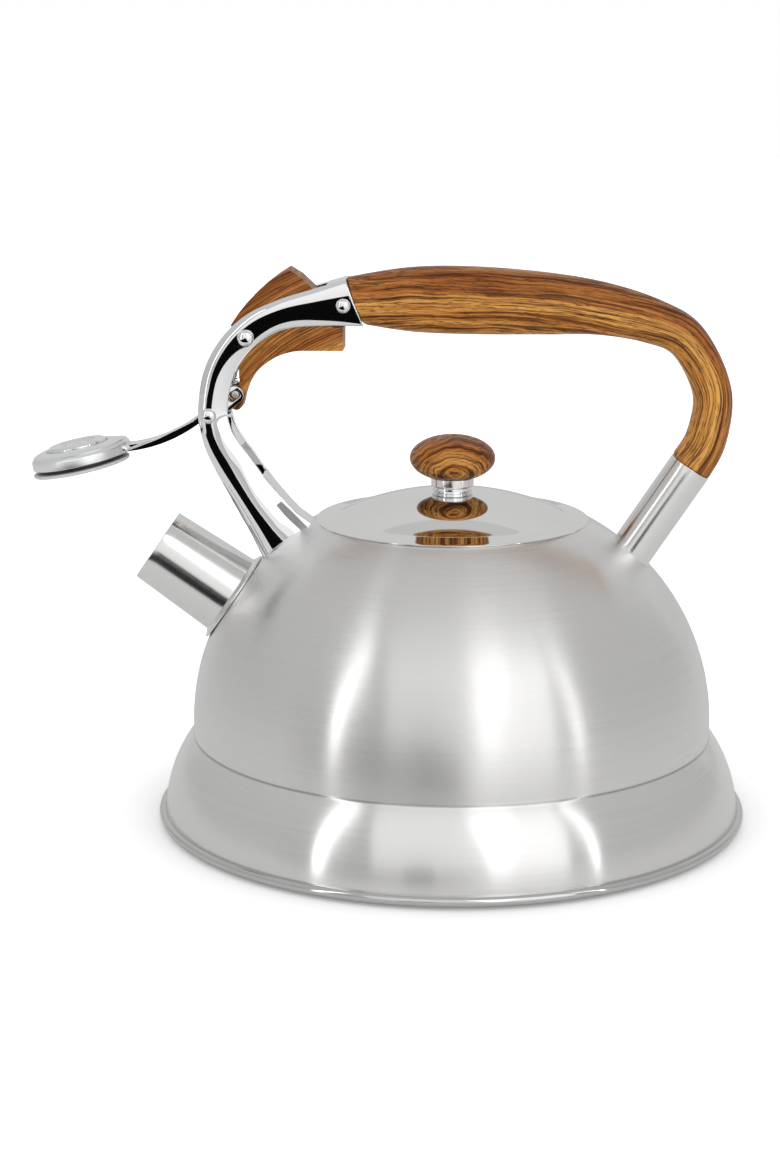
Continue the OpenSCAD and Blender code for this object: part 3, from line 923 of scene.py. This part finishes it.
class KETTLE_OT_body(bpy.types.Operator):
    """Drawn steel body with its pressed spout seat, base bead and base plate"""
    bl_idname = "kettle.body"
    bl_label = "Body"

    def execute(self, context):
        s = sizes()
        outline = body_outline(s)
        peak = max(range(len(outline)), key=lambda i: outline[i][1])
        shell = lathe("kettle_shell", outline, 256,
                      change=lambda p, row: press_seat(p, 0.8 if row > peak else 0.0))
        hole = lathe("hole_tool", [(0, -52), (15.65, -52), (15.65, -30), (0, -30)], 96, ON_SPOUT)
        cut_with(shell, hole)
        smooth(shell, 32)
        dress(shell, "kettle_body", "satin_body", "brushed_steel", "body_shell")

        bead = arc((mm(s.bead_centre), 3), mm(s.bead_radius), -152, 150, 26)
        roll = lathe("base_roll", soften([(0, 4.3), (93, 4.3), (97, 4.3, 2.0), (106.2, 2.2, 0.6)])
                     + bead + soften([(106.3, 4.3, 0.4), (97, 5.1, 2.0), (93, 5.1), (0, 5.1)]), 256)
        smooth(roll, 40)
        # The bead's darker steel is painted shade and dark reflection
        dress(roll, "kettle_body", "rolled_edge", "brushed_steel", "base_pan")

        plate = lathe("base_plate", soften([(0, 0.12), (18, 0.12), (18.6, 0.45), (21, 0.45), (21.6, 0.12),
                                            (89.4, 0, 1.2), (90.7, 1.2, 0.6), (90.7, 4.25), (90, 4.25),
                                            (90, 0.65), (0, 0.65)]), 192)
        smooth(plate, 40)
        dress(plate, "kettle_body", "satin_body", "brushed_steel", "base_cap")
        return {"FINISHED"}


class KETTLE_OT_spout(bpy.types.Operator):
    """Spout tube and its crimped collar"""
    bl_idname = "kettle.spout"
    bl_label = "Spout"

    def execute(self, context):
        s = sizes()
        mouth, root, rim = mm(s.mouth_radius), mm(s.spout_radius), mm(s.collar_radius)
        tube = lathe("spout_tube_skin", soften([
            (root - 0.8, -38.8), (root, -38.8), (root, -33.9), (root - 0.15, -30), (mouth + 0.1, -3),
            (mouth + 0.02, -0.1, 0.35), (mouth - 0.78, -0.1, 0.35), (mouth - 0.75, -3), (root - 0.95, -30)]),
            160, ON_SPOUT)
        dress(smooth(tube, 40), "kettle_body", "brushed_tube", "satin_steel", "spout_tube")
        collar = lathe("spout_collar_ring", soften([
            (15.62, -34.85), (rim - 0.05, -34.85, 0.35), (rim, -34.2, 0.3), (rim - 0.7, -33.75, 0.25),
            (rim - 1.05, -33.95, 0.15), (rim - 1.4, -33.6, 0.3), (16.3, -33.2, 0.5), (15.62, -32.8, 0.2)]),
            160, ON_SPOUT)
        dress(smooth(collar, 50), "kettle_body", "polished_steel", "satin_steel", "spout_collar")
        return {"FINISHED"}


class KETTLE_OT_lid(bpy.types.Operator):
    """Polished lid with its rolled rim and plug, and the knob with its ferrule"""
    bl_idname = "kettle.lid"
    bl_label = "Lid and knob"

    def execute(self, context):
        s = sizes()
        rim, rise, top = mm(s.lid_radius), mm(s.lid_rise), mm(s.lid_top)
        brim, drop = 42.0, rise - 1.15

        def crown(radius):
            return top - drop * (radius / brim) ** 2.15
        dome = [(r, crown(r)) for r in (2.1 + (brim - 2.1) * i / 36 for i in range(37))]
        under = [(r, z - 0.6) for r, z in dome[::-1]]
        lid = lathe("lid_skin", soften(
            dome[:-1] + [(*dome[-1], 1.2), (rim - 2, top - rise + 0.12), (rim, top - rise - 0.15, 0.4),
                         (rim - 0.1, top - rise - 0.6, 0.2), (rim - 0.8, top - rise - 0.5, 0.2)]
            + [(brim + 0.2, under[0][1], 0.8)] + under[1:]), 224)
        dress(smooth(lid, 40), "lid", "polished_steel", "satin_steel", "lid_shell")
        plug_top = top - rise + 0.2
        plug = lathe("lid_plug", soften([
            (44.8, plug_top), (44.8, 105.2, 0.4), (44.3, 104.6, 0.4), (43.9, 105.2, 0.3),
            (44.0, plug_top)]), 192)
        dress(smooth(plug, 40), "lid", "brushed_tube", "satin_steel", "lid_skirt")
        low = FERRULE_Z - 1.9
        ring = lathe("knob_ring_bead", soften([(2.1, low + 0.1), (7.0, low), (7.25, low + 0.6, 0.4),
                                               (7.25, low + 1.6, 0.35), (6.9, low + 1.95, 0.2),
                                               (2.1, low + 1.95)]), 96)
        dress(smooth(ring, 45), "lid", "bright_chrome", "chrome_trim", "knob_ring")
        ferrule = lathe("knob_ferrule_cup", soften([
            (2.1, FERRULE_Z), (7.7, FERRULE_Z, 0.3), (7.9, FERRULE_Z + 0.5, 0.3),
            (7.9, KNOB_Z - 0.05, 0.15), (2.1, KNOB_Z - 0.05)]), 128)
        dress(smooth(ferrule, 45), "lid", "brushed_tube", "chrome_trim", "knob_ferrule")

        radius, height = mm(s.knob_radius), mm(s.knob_height)
        below = math.sin(math.radians(58))
        half = height / (1 + below)
        curve = [(radius * math.cos(a), KNOB_Z + half * (math.sin(a) + below))
                 for a in (math.radians(-56 + 4 * i) for i in range(37))]
        knob = lathe("knob", [(0, KNOB_Z + 0.35), (6.9, KNOB_Z + 0.2), (7.9, KNOB_Z + 0.02)] + curve[1:-1]
                     + [(0, KNOB_Z + height)], 96)
        dress(smooth(knob, 50), "lid", "knob_wood", "wood_look", "lid_knob")
        return {"FINISHED"}


# ---- handle ----

# Pairs of outer and inner edge points of the bracket, from the grip down to its foot
BRACKET_PAIRS = [
    (-38.6, 201.6, -32.2, 184.5), (-50.9, 198.1, -45.5, 184.5), (-63.2, 194.35, -58.5, 183.6),
    (-75.1, 188.6, -67.6, 179.9), (-84.6, 179.4, -74.8, 173.6), (-90.8, 167.7, -79.7, 165.4),
    (-93.1, 154, -81.9, 154.5), (-92.4, 146, -80.9, 147.4), (-90.3, 138.3, -78.1, 142),
    (-86.5, 130.3, -73.4, 135.6), (-80.2, 118.4, -66.3, 125.9), (-73.8, 106.5, -57.1, 115.4),
    (-67.5, 94.6, -48.6, 107.1),
]
PER_PAIR = 8
CHEEK_POINTS, FACE_POINTS = 19, 5
# Pairs between which the bracket's two faces stand open, outer and inner
OUTER_OPEN = (0.6, 8.8)
INNER_OPEN = (0, 9.6)


def bracket_ring(half, depth, lip):
    """Section of the bracket as (along, across) points; the first half is the near cheek."""
    cheek, crest = [], 0.36
    for k in range(CHEEK_POINTS):
        along = 2 * k / (CHEEK_POINTS - 1) - 1
        fall = (along - crest) / (1 - crest if along > crest else 1 + crest)
        cheek.append((half * along, depth - (depth - lip) * fall * fall))
    face = [(half, lip * (1 - k / 3)) for k in range(1, FACE_POINTS + 1)]
    near = [(a, -b) for a, b in cheek]
    outer = [(a, -b) for a, b in face]
    far = [(a, b) for a, b in reversed(cheek)]
    inner = [(-a, b) for a, b in face]
    return near + outer + far + inner


class KETTLE_OT_bracket(bpy.types.Operator):
    """Chrome bracket: two rounded cheeks joined below, open to the trigger above"""
    bl_idname = "kettle.bracket"
    bl_label = "Front bracket"

    def execute(self, context):
        s = sizes()
        stations = catmull(BRACKET_PAIRS, PER_PAIR)
        points = []
        for row, (x0, z0, x1, z1) in enumerate(stations):
            closing = min(1.0, max(0.0, (row / PER_PAIR - OUTER_OPEN[1]) / 1.6))
            lip = mm(s.bracket_lip) - 1.3 * closing * closing * (3 - 2 * closing)
            outer, inner = Vector((x0, z0)), Vector((x1, z1))
            middle, half = (outer + inner) / 2, (outer - inner).length / 2
            up = (outer - inner).normalized()
            for a, b in bracket_ring(half, mm(s.bracket_half), lip):
                points.append(Vector((middle.x + up.x * a, b, middle.y + up.y * a)))
        count = len(points) // len(stations)
        down = Vector((0.56, 0, -0.83))
        for k in range(count):
            foot = onto_dome(points[-count + k], down)
            start = points[-count * (PER_PAIR + 1) + k]
            for row in range(1, PER_PAIR + 1):
                t = row / PER_PAIR
                points[-count * (PER_PAIR + 1 - row) + k] = start.lerp(foot, t)
        faces = []
        for row in range(len(stations) - 1):
            at, here, below = row / PER_PAIR, row * count, (row + 1) * count
            for k in range(count):
                outer = CHEEK_POINTS - 1 <= k < CHEEK_POINTS + FACE_POINTS
                inner = k >= 2 * CHEEK_POINTS + FACE_POINTS - 1
                if ((outer and OUTER_OPEN[0] <= at < OUTER_OPEN[1])
                        or (inner and INNER_OPEN[0] <= at < INNER_OPEN[1])):
                    continue
                n = (k + 1) % count
                faces.append((here + k, here + n, below + n, below + k))
        used = sorted({v for f in faces for v in f})
        index = {v: i for i, v in enumerate(used)}
        bracket = piece_from("front_bracket_skin", [points[v] for v in used],
                             [tuple(index[v] for v in f) for f in faces])
        wall = bracket.modifiers.new("wall", "SOLIDIFY")
        wall.thickness, wall.offset, wall.use_even_offset = 0.9 * MM, -1, True
        settle(bracket)
        round_edges(bracket, 0.4, 3, 42)
        settle(bracket)
        dress(smooth(bracket, 38), "kettle_body", "bright_chrome", "chrome_trim", "front_bracket")
        return {"FINISHED"}


# Stations of the grip: x, z, angle of the top's normal, half height, half depth
GRIP_STATIONS = [
    (-35.4, 193.1, 110.6, 9.1, 9.2), (-14, 193.7, 93, 11.75, 10.6), (8, 193.5, 90, 12.2, 11.3),
    (33, 192.6, 88, 11.2, 11), (54, 190.8, 80, 9.5, 10.2), (72.6, 186.2, 67, 8.1, 9.3),
    (85.1, 179.1, 45, 7.3, 8.8), (94, 161.3, 10, 7.1, 8.4), (92.6, 144.4, -18, 7.5, 8.1),
    (87.1, 133.6, -33.2, 7.9, 8),
]


def softened_end(station, inward):
    """The grip's drawn-in end, and the full ring a step inside it; inward is +90 or -90 degrees."""
    x, z, turn, high, deep = station
    lead, step, inset = math.radians(turn + inward), 0.5, 0.45
    return ([x, z, turn, high - inset, deep - inset],
            [x - step * math.cos(lead), z - step * math.sin(lead), turn, high, deep])


class KETTLE_OT_grip(bpy.types.Operator):
    """Wood-look grip and the steel post behind it"""
    bl_idname = "kettle.grip"
    bl_label = "Grip and post"

    def execute(self, context):
        s = sizes()
        sides, power = 56, 0.84

        def bulge(value):
            return math.copysign(abs(value) ** power, value)
        rings = catmull(GRIP_STATIONS, 12)
        front, back = softened_end(rings[0], 90), softened_end(rings[-1], -90)
        rings = [*front, *rings[1:-1], *reversed(back)]
        points, grain, run = [], [], 0.0
        for i, (x, z, turn, high, deep) in enumerate(rings):
            run += math.dist((x, z), rings[i - 1][:2]) if i else 0.0
            up = (math.cos(math.radians(turn)), math.sin(math.radians(turn)))
            for j in range(sides):
                a = 2 * math.pi * j / sides
                u, v = high * bulge(math.sin(a)), deep * bulge(math.cos(a))
                points.append((x + u * up[0], v, z + u * up[1]))
                grain.append((run, u, v))
        last = (len(rings) - 1) * sides
        faces = [(i + j, i + (j + 1) % sides, i + sides + (j + 1) % sides, i + sides + j)
                 for i in range(0, last, sides) for j in range(sides)]
        faces += [tuple(range(sides)), tuple(range(last, last + sides))]
        grip = piece_from("grip_skin", points, faces)
        face_outwards(grip.data)
        store = grip.data.attributes.new("grain", "FLOAT_VECTOR", "POINT")
        store.data.foreach_set("vector", [c for g in grain for c in g])
        dress(smooth(grip, 50), "kettle_body", "grip_wood", "wood_look", "grip")

        radius, top = mm(s.post_radius), 37.4
        axis = ON_POST.to_3x3() @ Vector((0, 0, 1))
        post = lathe("rear_post_tube", soften([
            (radius - 1, -1.5), (radius, -1.5), (radius, 4), (radius, top - 4), (radius, top - 0.1, 0.25),
            (radius - 1, top - 0.1, 0.25), (radius - 1, 4)]), 112, ON_POST)
        for vertex in post.data.vertices:
            spot = vertex.co / MM
            if (ON_POST.inverted() @ spot).z < 0:
                vertex.co = onto_dome(spot, -axis, 0.3) * MM
        dress(smooth(post, 40), "kettle_body", "brushed_tube", "satin_steel", "rear_post")
        return {"FINISHED"}


# ---- pins and spring ----

def geometry_group(name, inputs):
    tree = bpy.data.node_groups.new(name, "GeometryNodeTree")
    tree.interface.new_socket("Geometry", in_out="INPUT", socket_type="NodeSocketGeometry")
    for label, kind in inputs:
        tree.interface.new_socket(label, in_out="INPUT", socket_type=kind)
    tree.interface.new_socket("Geometry", in_out="OUTPUT", socket_type="NodeSocketGeometry")
    return tree, tree.nodes.new("NodeGroupInput"), tree.nodes.new("NodeGroupOutput")


def run_tree(name, tree, vertices, values):
    """Runs a geometry tree on a few points (millimetres) and keeps the result as a plain mesh."""
    piece = piece_from(name, vertices, [])
    modifier = piece.modifiers.new(tree.name, "NODES")
    modifier.node_group = tree
    for item in tree.interface.items_tree:
        if item.in_out == "INPUT" and item.name in values:
            modifier[item.identifier] = values[item.name]
    return settle(piece)


def finish_tree(tree, shape, given, out):
    """Ends a tree: real geometry, in the finish that it was given."""
    real = tree.nodes.new("GeometryNodeRealizeInstances")
    paint = tree.nodes.new("GeometryNodeSetMaterial")
    link_all(tree, [(shape, real.inputs[0]), (real.outputs[0], paint.inputs["Geometry"]),
                    (given.outputs["Finish"], paint.inputs["Material"]),
                    (paint.outputs[0], out.inputs[0])])


def domed_pins_tree():
    """At each point: a shank across the kettle and a domed head on both ends."""
    tree, given, out = geometry_group("domed pins", [
        ("Head Radius", FLOAT), ("Head Height", FLOAT), ("Shank Radius", FLOAT), ("Half Length", FLOAT),
        ("Finish", "NodeSocketMaterial")])
    head_radius, half = given.outputs["Head Radius"], given.outputs["Half Length"]
    head = add(tree, "GeometryNodeMeshUVSphere", s_Segments=40, s_Rings=24, s_Radius=1.0)
    size = combine(tree, head_radius, head_radius, given.outputs["Head Height"])
    parts = []
    for side in (-1, 1):
        place = add(tree, "GeometryNodeTransform", s_Rotation=(math.pi / 2, 0, 0))
        link_all(tree, [(head.outputs["Mesh"], place.inputs["Geometry"]), (size, place.inputs["Scale"]),
                        (combine(tree, 0, times(tree, half, side), 0), place.inputs["Translation"])])
        parts.append(place.outputs["Geometry"])
    shank = add(tree, "GeometryNodeMeshCylinder", s_Vertices=32)
    link_all(tree, [(given.outputs["Shank Radius"], shank.inputs["Radius"]),
                    (times(tree, half, 2), shank.inputs["Depth"])])
    lay = add(tree, "GeometryNodeTransform", s_Rotation=(math.pi / 2, 0, 0))
    tree.links.new(shank.outputs["Mesh"], lay.inputs["Geometry"])
    join = tree.nodes.new("GeometryNodeJoinGeometry")
    for part in parts + [lay.outputs["Geometry"]]:
        tree.links.new(part, join.inputs[0])
    copies = tree.nodes.new("GeometryNodeInstanceOnPoints")
    link_all(tree, [(given.outputs["Geometry"], copies.inputs["Points"]),
                    (join.outputs[0], copies.inputs["Instance"])])
    finish_tree(tree, copies.outputs[0], given, out)
    return tree


def coil_tree():
    """A tension spring along +Z from the origin, with an eye at each end."""
    tree, given, out = geometry_group("tension spring", [
        ("Coil Radius", FLOAT), ("Wire Radius", FLOAT), ("Length", FLOAT), ("Turns", FLOAT),
        ("Eye Radius", FLOAT), ("Finish", "NodeSocketMaterial")])
    spiral = add(tree, "GeometryNodeCurveSpiral", s_Resolution=18)
    eye_radius, reach = given.outputs["Eye Radius"], given.outputs["Length"]
    end = times(tree, eye_radius, 1.5)
    link_all(tree, [(given.outputs["Turns"], spiral.inputs["Rotations"]),
                    (given.outputs["Coil Radius"], spiral.inputs["Start Radius"]),
                    (given.outputs["Coil Radius"], spiral.inputs["End Radius"]),
                    (minus(tree, reach, times(tree, end, 2)), spiral.inputs["Height"])])
    raised = tree.nodes.new("GeometryNodeTransform")
    link_all(tree, [(spiral.outputs[0], raised.inputs["Geometry"]),
                    (combine(tree, 0, 0, end), raised.inputs["Translation"])])
    join = tree.nodes.new("GeometryNodeJoinGeometry")
    tree.links.new(raised.outputs[0], join.inputs[0])
    for factor in (0, 1):
        eye = add(tree, "GeometryNodeCurvePrimitiveCircle", s_Resolution=28)
        stand = add(tree, "GeometryNodeTransform", s_Rotation=(math.pi / 2, 0, 0))
        link_all(tree, [(eye_radius, eye.inputs["Radius"]), (eye.outputs["Curve"], stand.inputs["Geometry"]),
                        (combine(tree, 0, 0, times(tree, reach, factor)), stand.inputs["Translation"]),
                        (stand.outputs[0], join.inputs[0])])
    wire = add(tree, "GeometryNodeCurvePrimitiveCircle", s_Resolution=8)
    tree.links.new(given.outputs["Wire Radius"], wire.inputs["Radius"])
    sweep = add(tree, "GeometryNodeCurveToMesh")
    sweep.inputs["Fill Caps"].default_value = True
    link_all(tree, [(join.outputs[0], sweep.inputs["Curve"]),
                    (wire.outputs["Curve"], sweep.inputs["Profile Curve"])])
    finish_tree(tree, sweep.outputs[0], given, out)
    return tree


class KETTLE_OT_pins(bpy.types.Operator):
    """Domed pins, the cross pins behind them and the return spring"""
    bl_idname = "kettle.pins"
    bl_label = "Pins and spring"

    def execute(self, context):
        s = sizes()
        tree = domed_pins_tree()
        chrome, steel = material_of("bright_chrome"), material_of("plain_steel")
        for name, at, head, half, body, node in (
            ("trigger_pivot_pin", TRIGGER_PIN, 3.05, 9.1, "kettle_body", "trigger_pin"),
            ("arm_pivot_pin", ARM_PIN, 2.8, 9.1, "kettle_body", "arm_pin"),
            ("grip_fixing_pin", GRIP_PIN, 2.6, 9.1, "kettle_body", "grip_pin"),
            ("cap_tail_rivet", RIVET, 1.5, 5.0, "whistle", "cap_rivet"),
        ):
            pin = run_tree(name, tree, [(at[0], 0, at[1])], {
                "Head Radius": head * MM, "Head Height": 0.62 * head * MM, "Half Length": half * MM,
                "Shank Radius": (1.6 if head > 2 else 0.9) * MM, "Finish": chrome})
            dress(smooth(pin, 40), body, None, "chrome_trim", node)
        for name, at, radius, half, body, node in (
            ("spring_anchor", SPRING_PIN, 1.1, 8.2, "kettle_body", "spring_pin"),
            ("link_cross_pin", LINK, 1.3, 6.75, "trigger", "link_pin"),
        ):
            pin = run_tree(name, tree, [(at[0], 0, at[1])], {
                "Head Radius": radius * MM, "Head Height": 0.25 * MM, "Half Length": half * MM,
                "Shank Radius": radius * MM, "Finish": steel})
            dress(smooth(pin, 40), body, None, "plain_steel", node)

        line = Vector((LINK[0] - SPRING_PIN[0], 0, LINK[1] - SPRING_PIN[1]))
        spring = run_tree("return_spring_coil", coil_tree(), [(0, 0, 0)], {
            "Coil Radius": s.spring_radius, "Wire Radius": s.spring_wire, "Length": line.length * MM,
            "Turns": 15.0, "Eye Radius": 1.55 * MM, "Finish": material_of("spring_steel")})
        start, end = (Vector((x, SPRING_Y, z)) * MM for x, z in (SPRING_PIN, LINK))
        spring.data.transform(Matrix.Translation(start)
                              @ line.to_track_quat("Z", "Y").to_matrix().to_4x4())
        smooth(spring, 60)
        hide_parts("return_spring")
        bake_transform(spring)
        return {"FINISHED"}


# ---- trigger and whistle ----

class KETTLE_OT_trigger(bpy.types.Operator):
    """Wood-look trigger with rounded edges"""
    bl_idname = "kettle.trigger"
    bl_label = "Trigger"

    def execute(self, context):
        trigger = round_edges(merged_copy("trigger_skin", "trigger"), 1.0, 4, 35)
        settle(trigger)
        dress(smooth(trigger, 40), "trigger", "trigger_wood", "wood_look", "trigger")
        return {"FINISHED"}


class KETTLE_OT_whistle(bpy.types.Operator):
    """Whistle arm and the cap at its end"""
    bl_idname = "kettle.whistle"
    bl_label = "Whistle"

    def execute(self, context):
        s = sizes()
        arm = round_edges(merged_copy("whistle_arm_bar", "whistle_arm"), 0.8, 4, 35)
        settle(arm)
        dress(smooth(arm, 40), "whistle", "bright_chrome", "chrome_trim", "whistle_arm")

        radius = mm(s.cap_radius)
        into_cap = ON_CAP.inverted()

        def swell(point, row):
            """Draws the cover out and up into the socket that holds the arm."""
            spot = into_cap @ point
            reach = math.hypot(spot.x, spot.y)
            near = 1 / (1 + (abs(spot.y) / 5.4) ** 6) if spot.x > 0 else 0.0
            outside = min(1.0, max(0.0, (reach - (radius - 5.5)) / 4.5))
            grow = near * outside
            high = min(1.0, max(0.0, (spot.z - 3.1) / 3))
            return ON_CAP @ Vector((spot.x * (1 + 0.10 * grow), spot.y, spot.z + 0.85 * grow * high))
        cover = lathe("cap_cover_skin", soften([
            (radius - 1, 3.1), (radius, 3.1, 0.35), (radius, 4.6), (radius - 0.15, 6.2, 1.2),
            (radius - 1.6, 7.9, 1.6), (radius - 4.2, 8.75, 2.2), (11.7, 8.75, 0.3), (11.5, 7.85, 0.1),
            (10.6, 7.85, 0.1), (10.4, 8.35), (3.0, 8.35), (3.0, 7.5), (radius - 1, 7.5)],
            6), 144, ON_CAP, swell)
        dress(smooth(cover, 40), "whistle", "satin_chrome", "chrome_trim", "cap_cover")

        disc = lathe("whistle_face", soften([
            (1.5, 8.4), (10.9, 8.4), (10.9, 9.3, 0.35), (10.1, 10.1, 0.5), (8.8, 10.1, 0.5), (7.4, 8.95, 0.8),
            (4.6, 8.95, 0.8), (3.5, 9.7, 0.5), (2.3, 9.7, 0.3), (1.5, 9.0, 0.2)]), 112, ON_CAP)
        dress(smooth(disc, 50), "whistle", "bright_chrome", "chrome_trim", "whistle_disc")
        # The inner plate is near-black: painted shade that shows in the gap between cover and seal
        plate = lathe("whistle_inner_plate", soften([
            (1.6, 1.6, 0.2), (radius - 1.9, 1.65), (radius - 1.8, 3.1), (1.6, 3.1)]), 112, ON_CAP)
        dress(smooth(plate, 40), "whistle", "shaded_steel", "plain_steel", "whistle_plate")
        seal = lathe("cap_seal_ring", soften([
            (10.0, 0.3, 0.4), (18.0, 0.35, 0.6), (18.2, 1.5, 0.5), (15.5, 1.62),
            (10.0, 1.6, 0.4)]), 144, ON_CAP)
        dress(smooth(seal, 40), "whistle", "silicone_seal", "silicone", "cap_seal")
        return {"FINISHED"}


HIDDEN_PARTS = {
    "heat_disc": "cast_aluminium", "bracket_foot_block": "plain_steel", "bracket_screws": "plain_steel",
    "bracket_washers": "black_rubber", "post_bolt": "plain_steel", "post_washer": "black_rubber",
    "knob_screw": "plain_steel", "knob_washer": "black_rubber",
}


class KETTLE_OT_inner_parts(bpy.types.Operator):
    """Finishes on the fasteners, washers and core that stay as they are in the frame"""
    bl_idname = "kettle.inner_parts"
    bl_label = "Inner parts"

    def execute(self, context):
        for node, finish_name in HIDDEN_PARTS.items():
            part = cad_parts[node]
            for slot in part.material_slots:
                slot.material = material_of(finish_name)
        return {"FINISHED"}


class KETTLE_PT_panel(bpy.types.Panel):
    """Kettle pieces and their settings"""
    bl_label = "Kettle"
    bl_idname = "KETTLE_PT_panel"
    bl_space_type = "VIEW_3D"
    bl_region_type = "UI"
    bl_category = "Kettle"

    def draw(self, context):
        for step in STEPS:
            self.layout.operator(step.bl_idname)
        for group in ("kettle_sizes", "kettle_finish", "kettle_studio"):
            settings = getattr(context.scene, group)
            box = self.layout.box()
            for name in settings.__annotations__:
                box.prop(settings, name)


STEPS = (KETTLE_OT_studio, KETTLE_OT_body, KETTLE_OT_spout, KETTLE_OT_lid, KETTLE_OT_bracket, KETTLE_OT_grip,
         KETTLE_OT_pins, KETTLE_OT_trigger, KETTLE_OT_whistle, KETTLE_OT_inner_parts)
SETTINGS = {"kettle_sizes": KettleSizes, "kettle_finish": KettleFinish, "kettle_studio": KettleStudio}
CLASSES = (*SETTINGS.values(), *STEPS, KETTLE_PT_panel)


def register():
    for item in CLASSES:
        bpy.utils.register_class(item)
    for name, group in SETTINGS.items():
        setattr(bpy.types.Scene, name, bpy.props.PointerProperty(type=group))


def unregister():
    for name in SETTINGS:
        delattr(bpy.types.Scene, name)
    for item in reversed(CLASSES):
        bpy.utils.unregister_class(item)


def main():
    register()
    for step in STEPS:
        area, action = step.bl_idname.split(".")
        getattr(getattr(bpy.ops, area), action)()


if __name__ == "__main__":
    main()
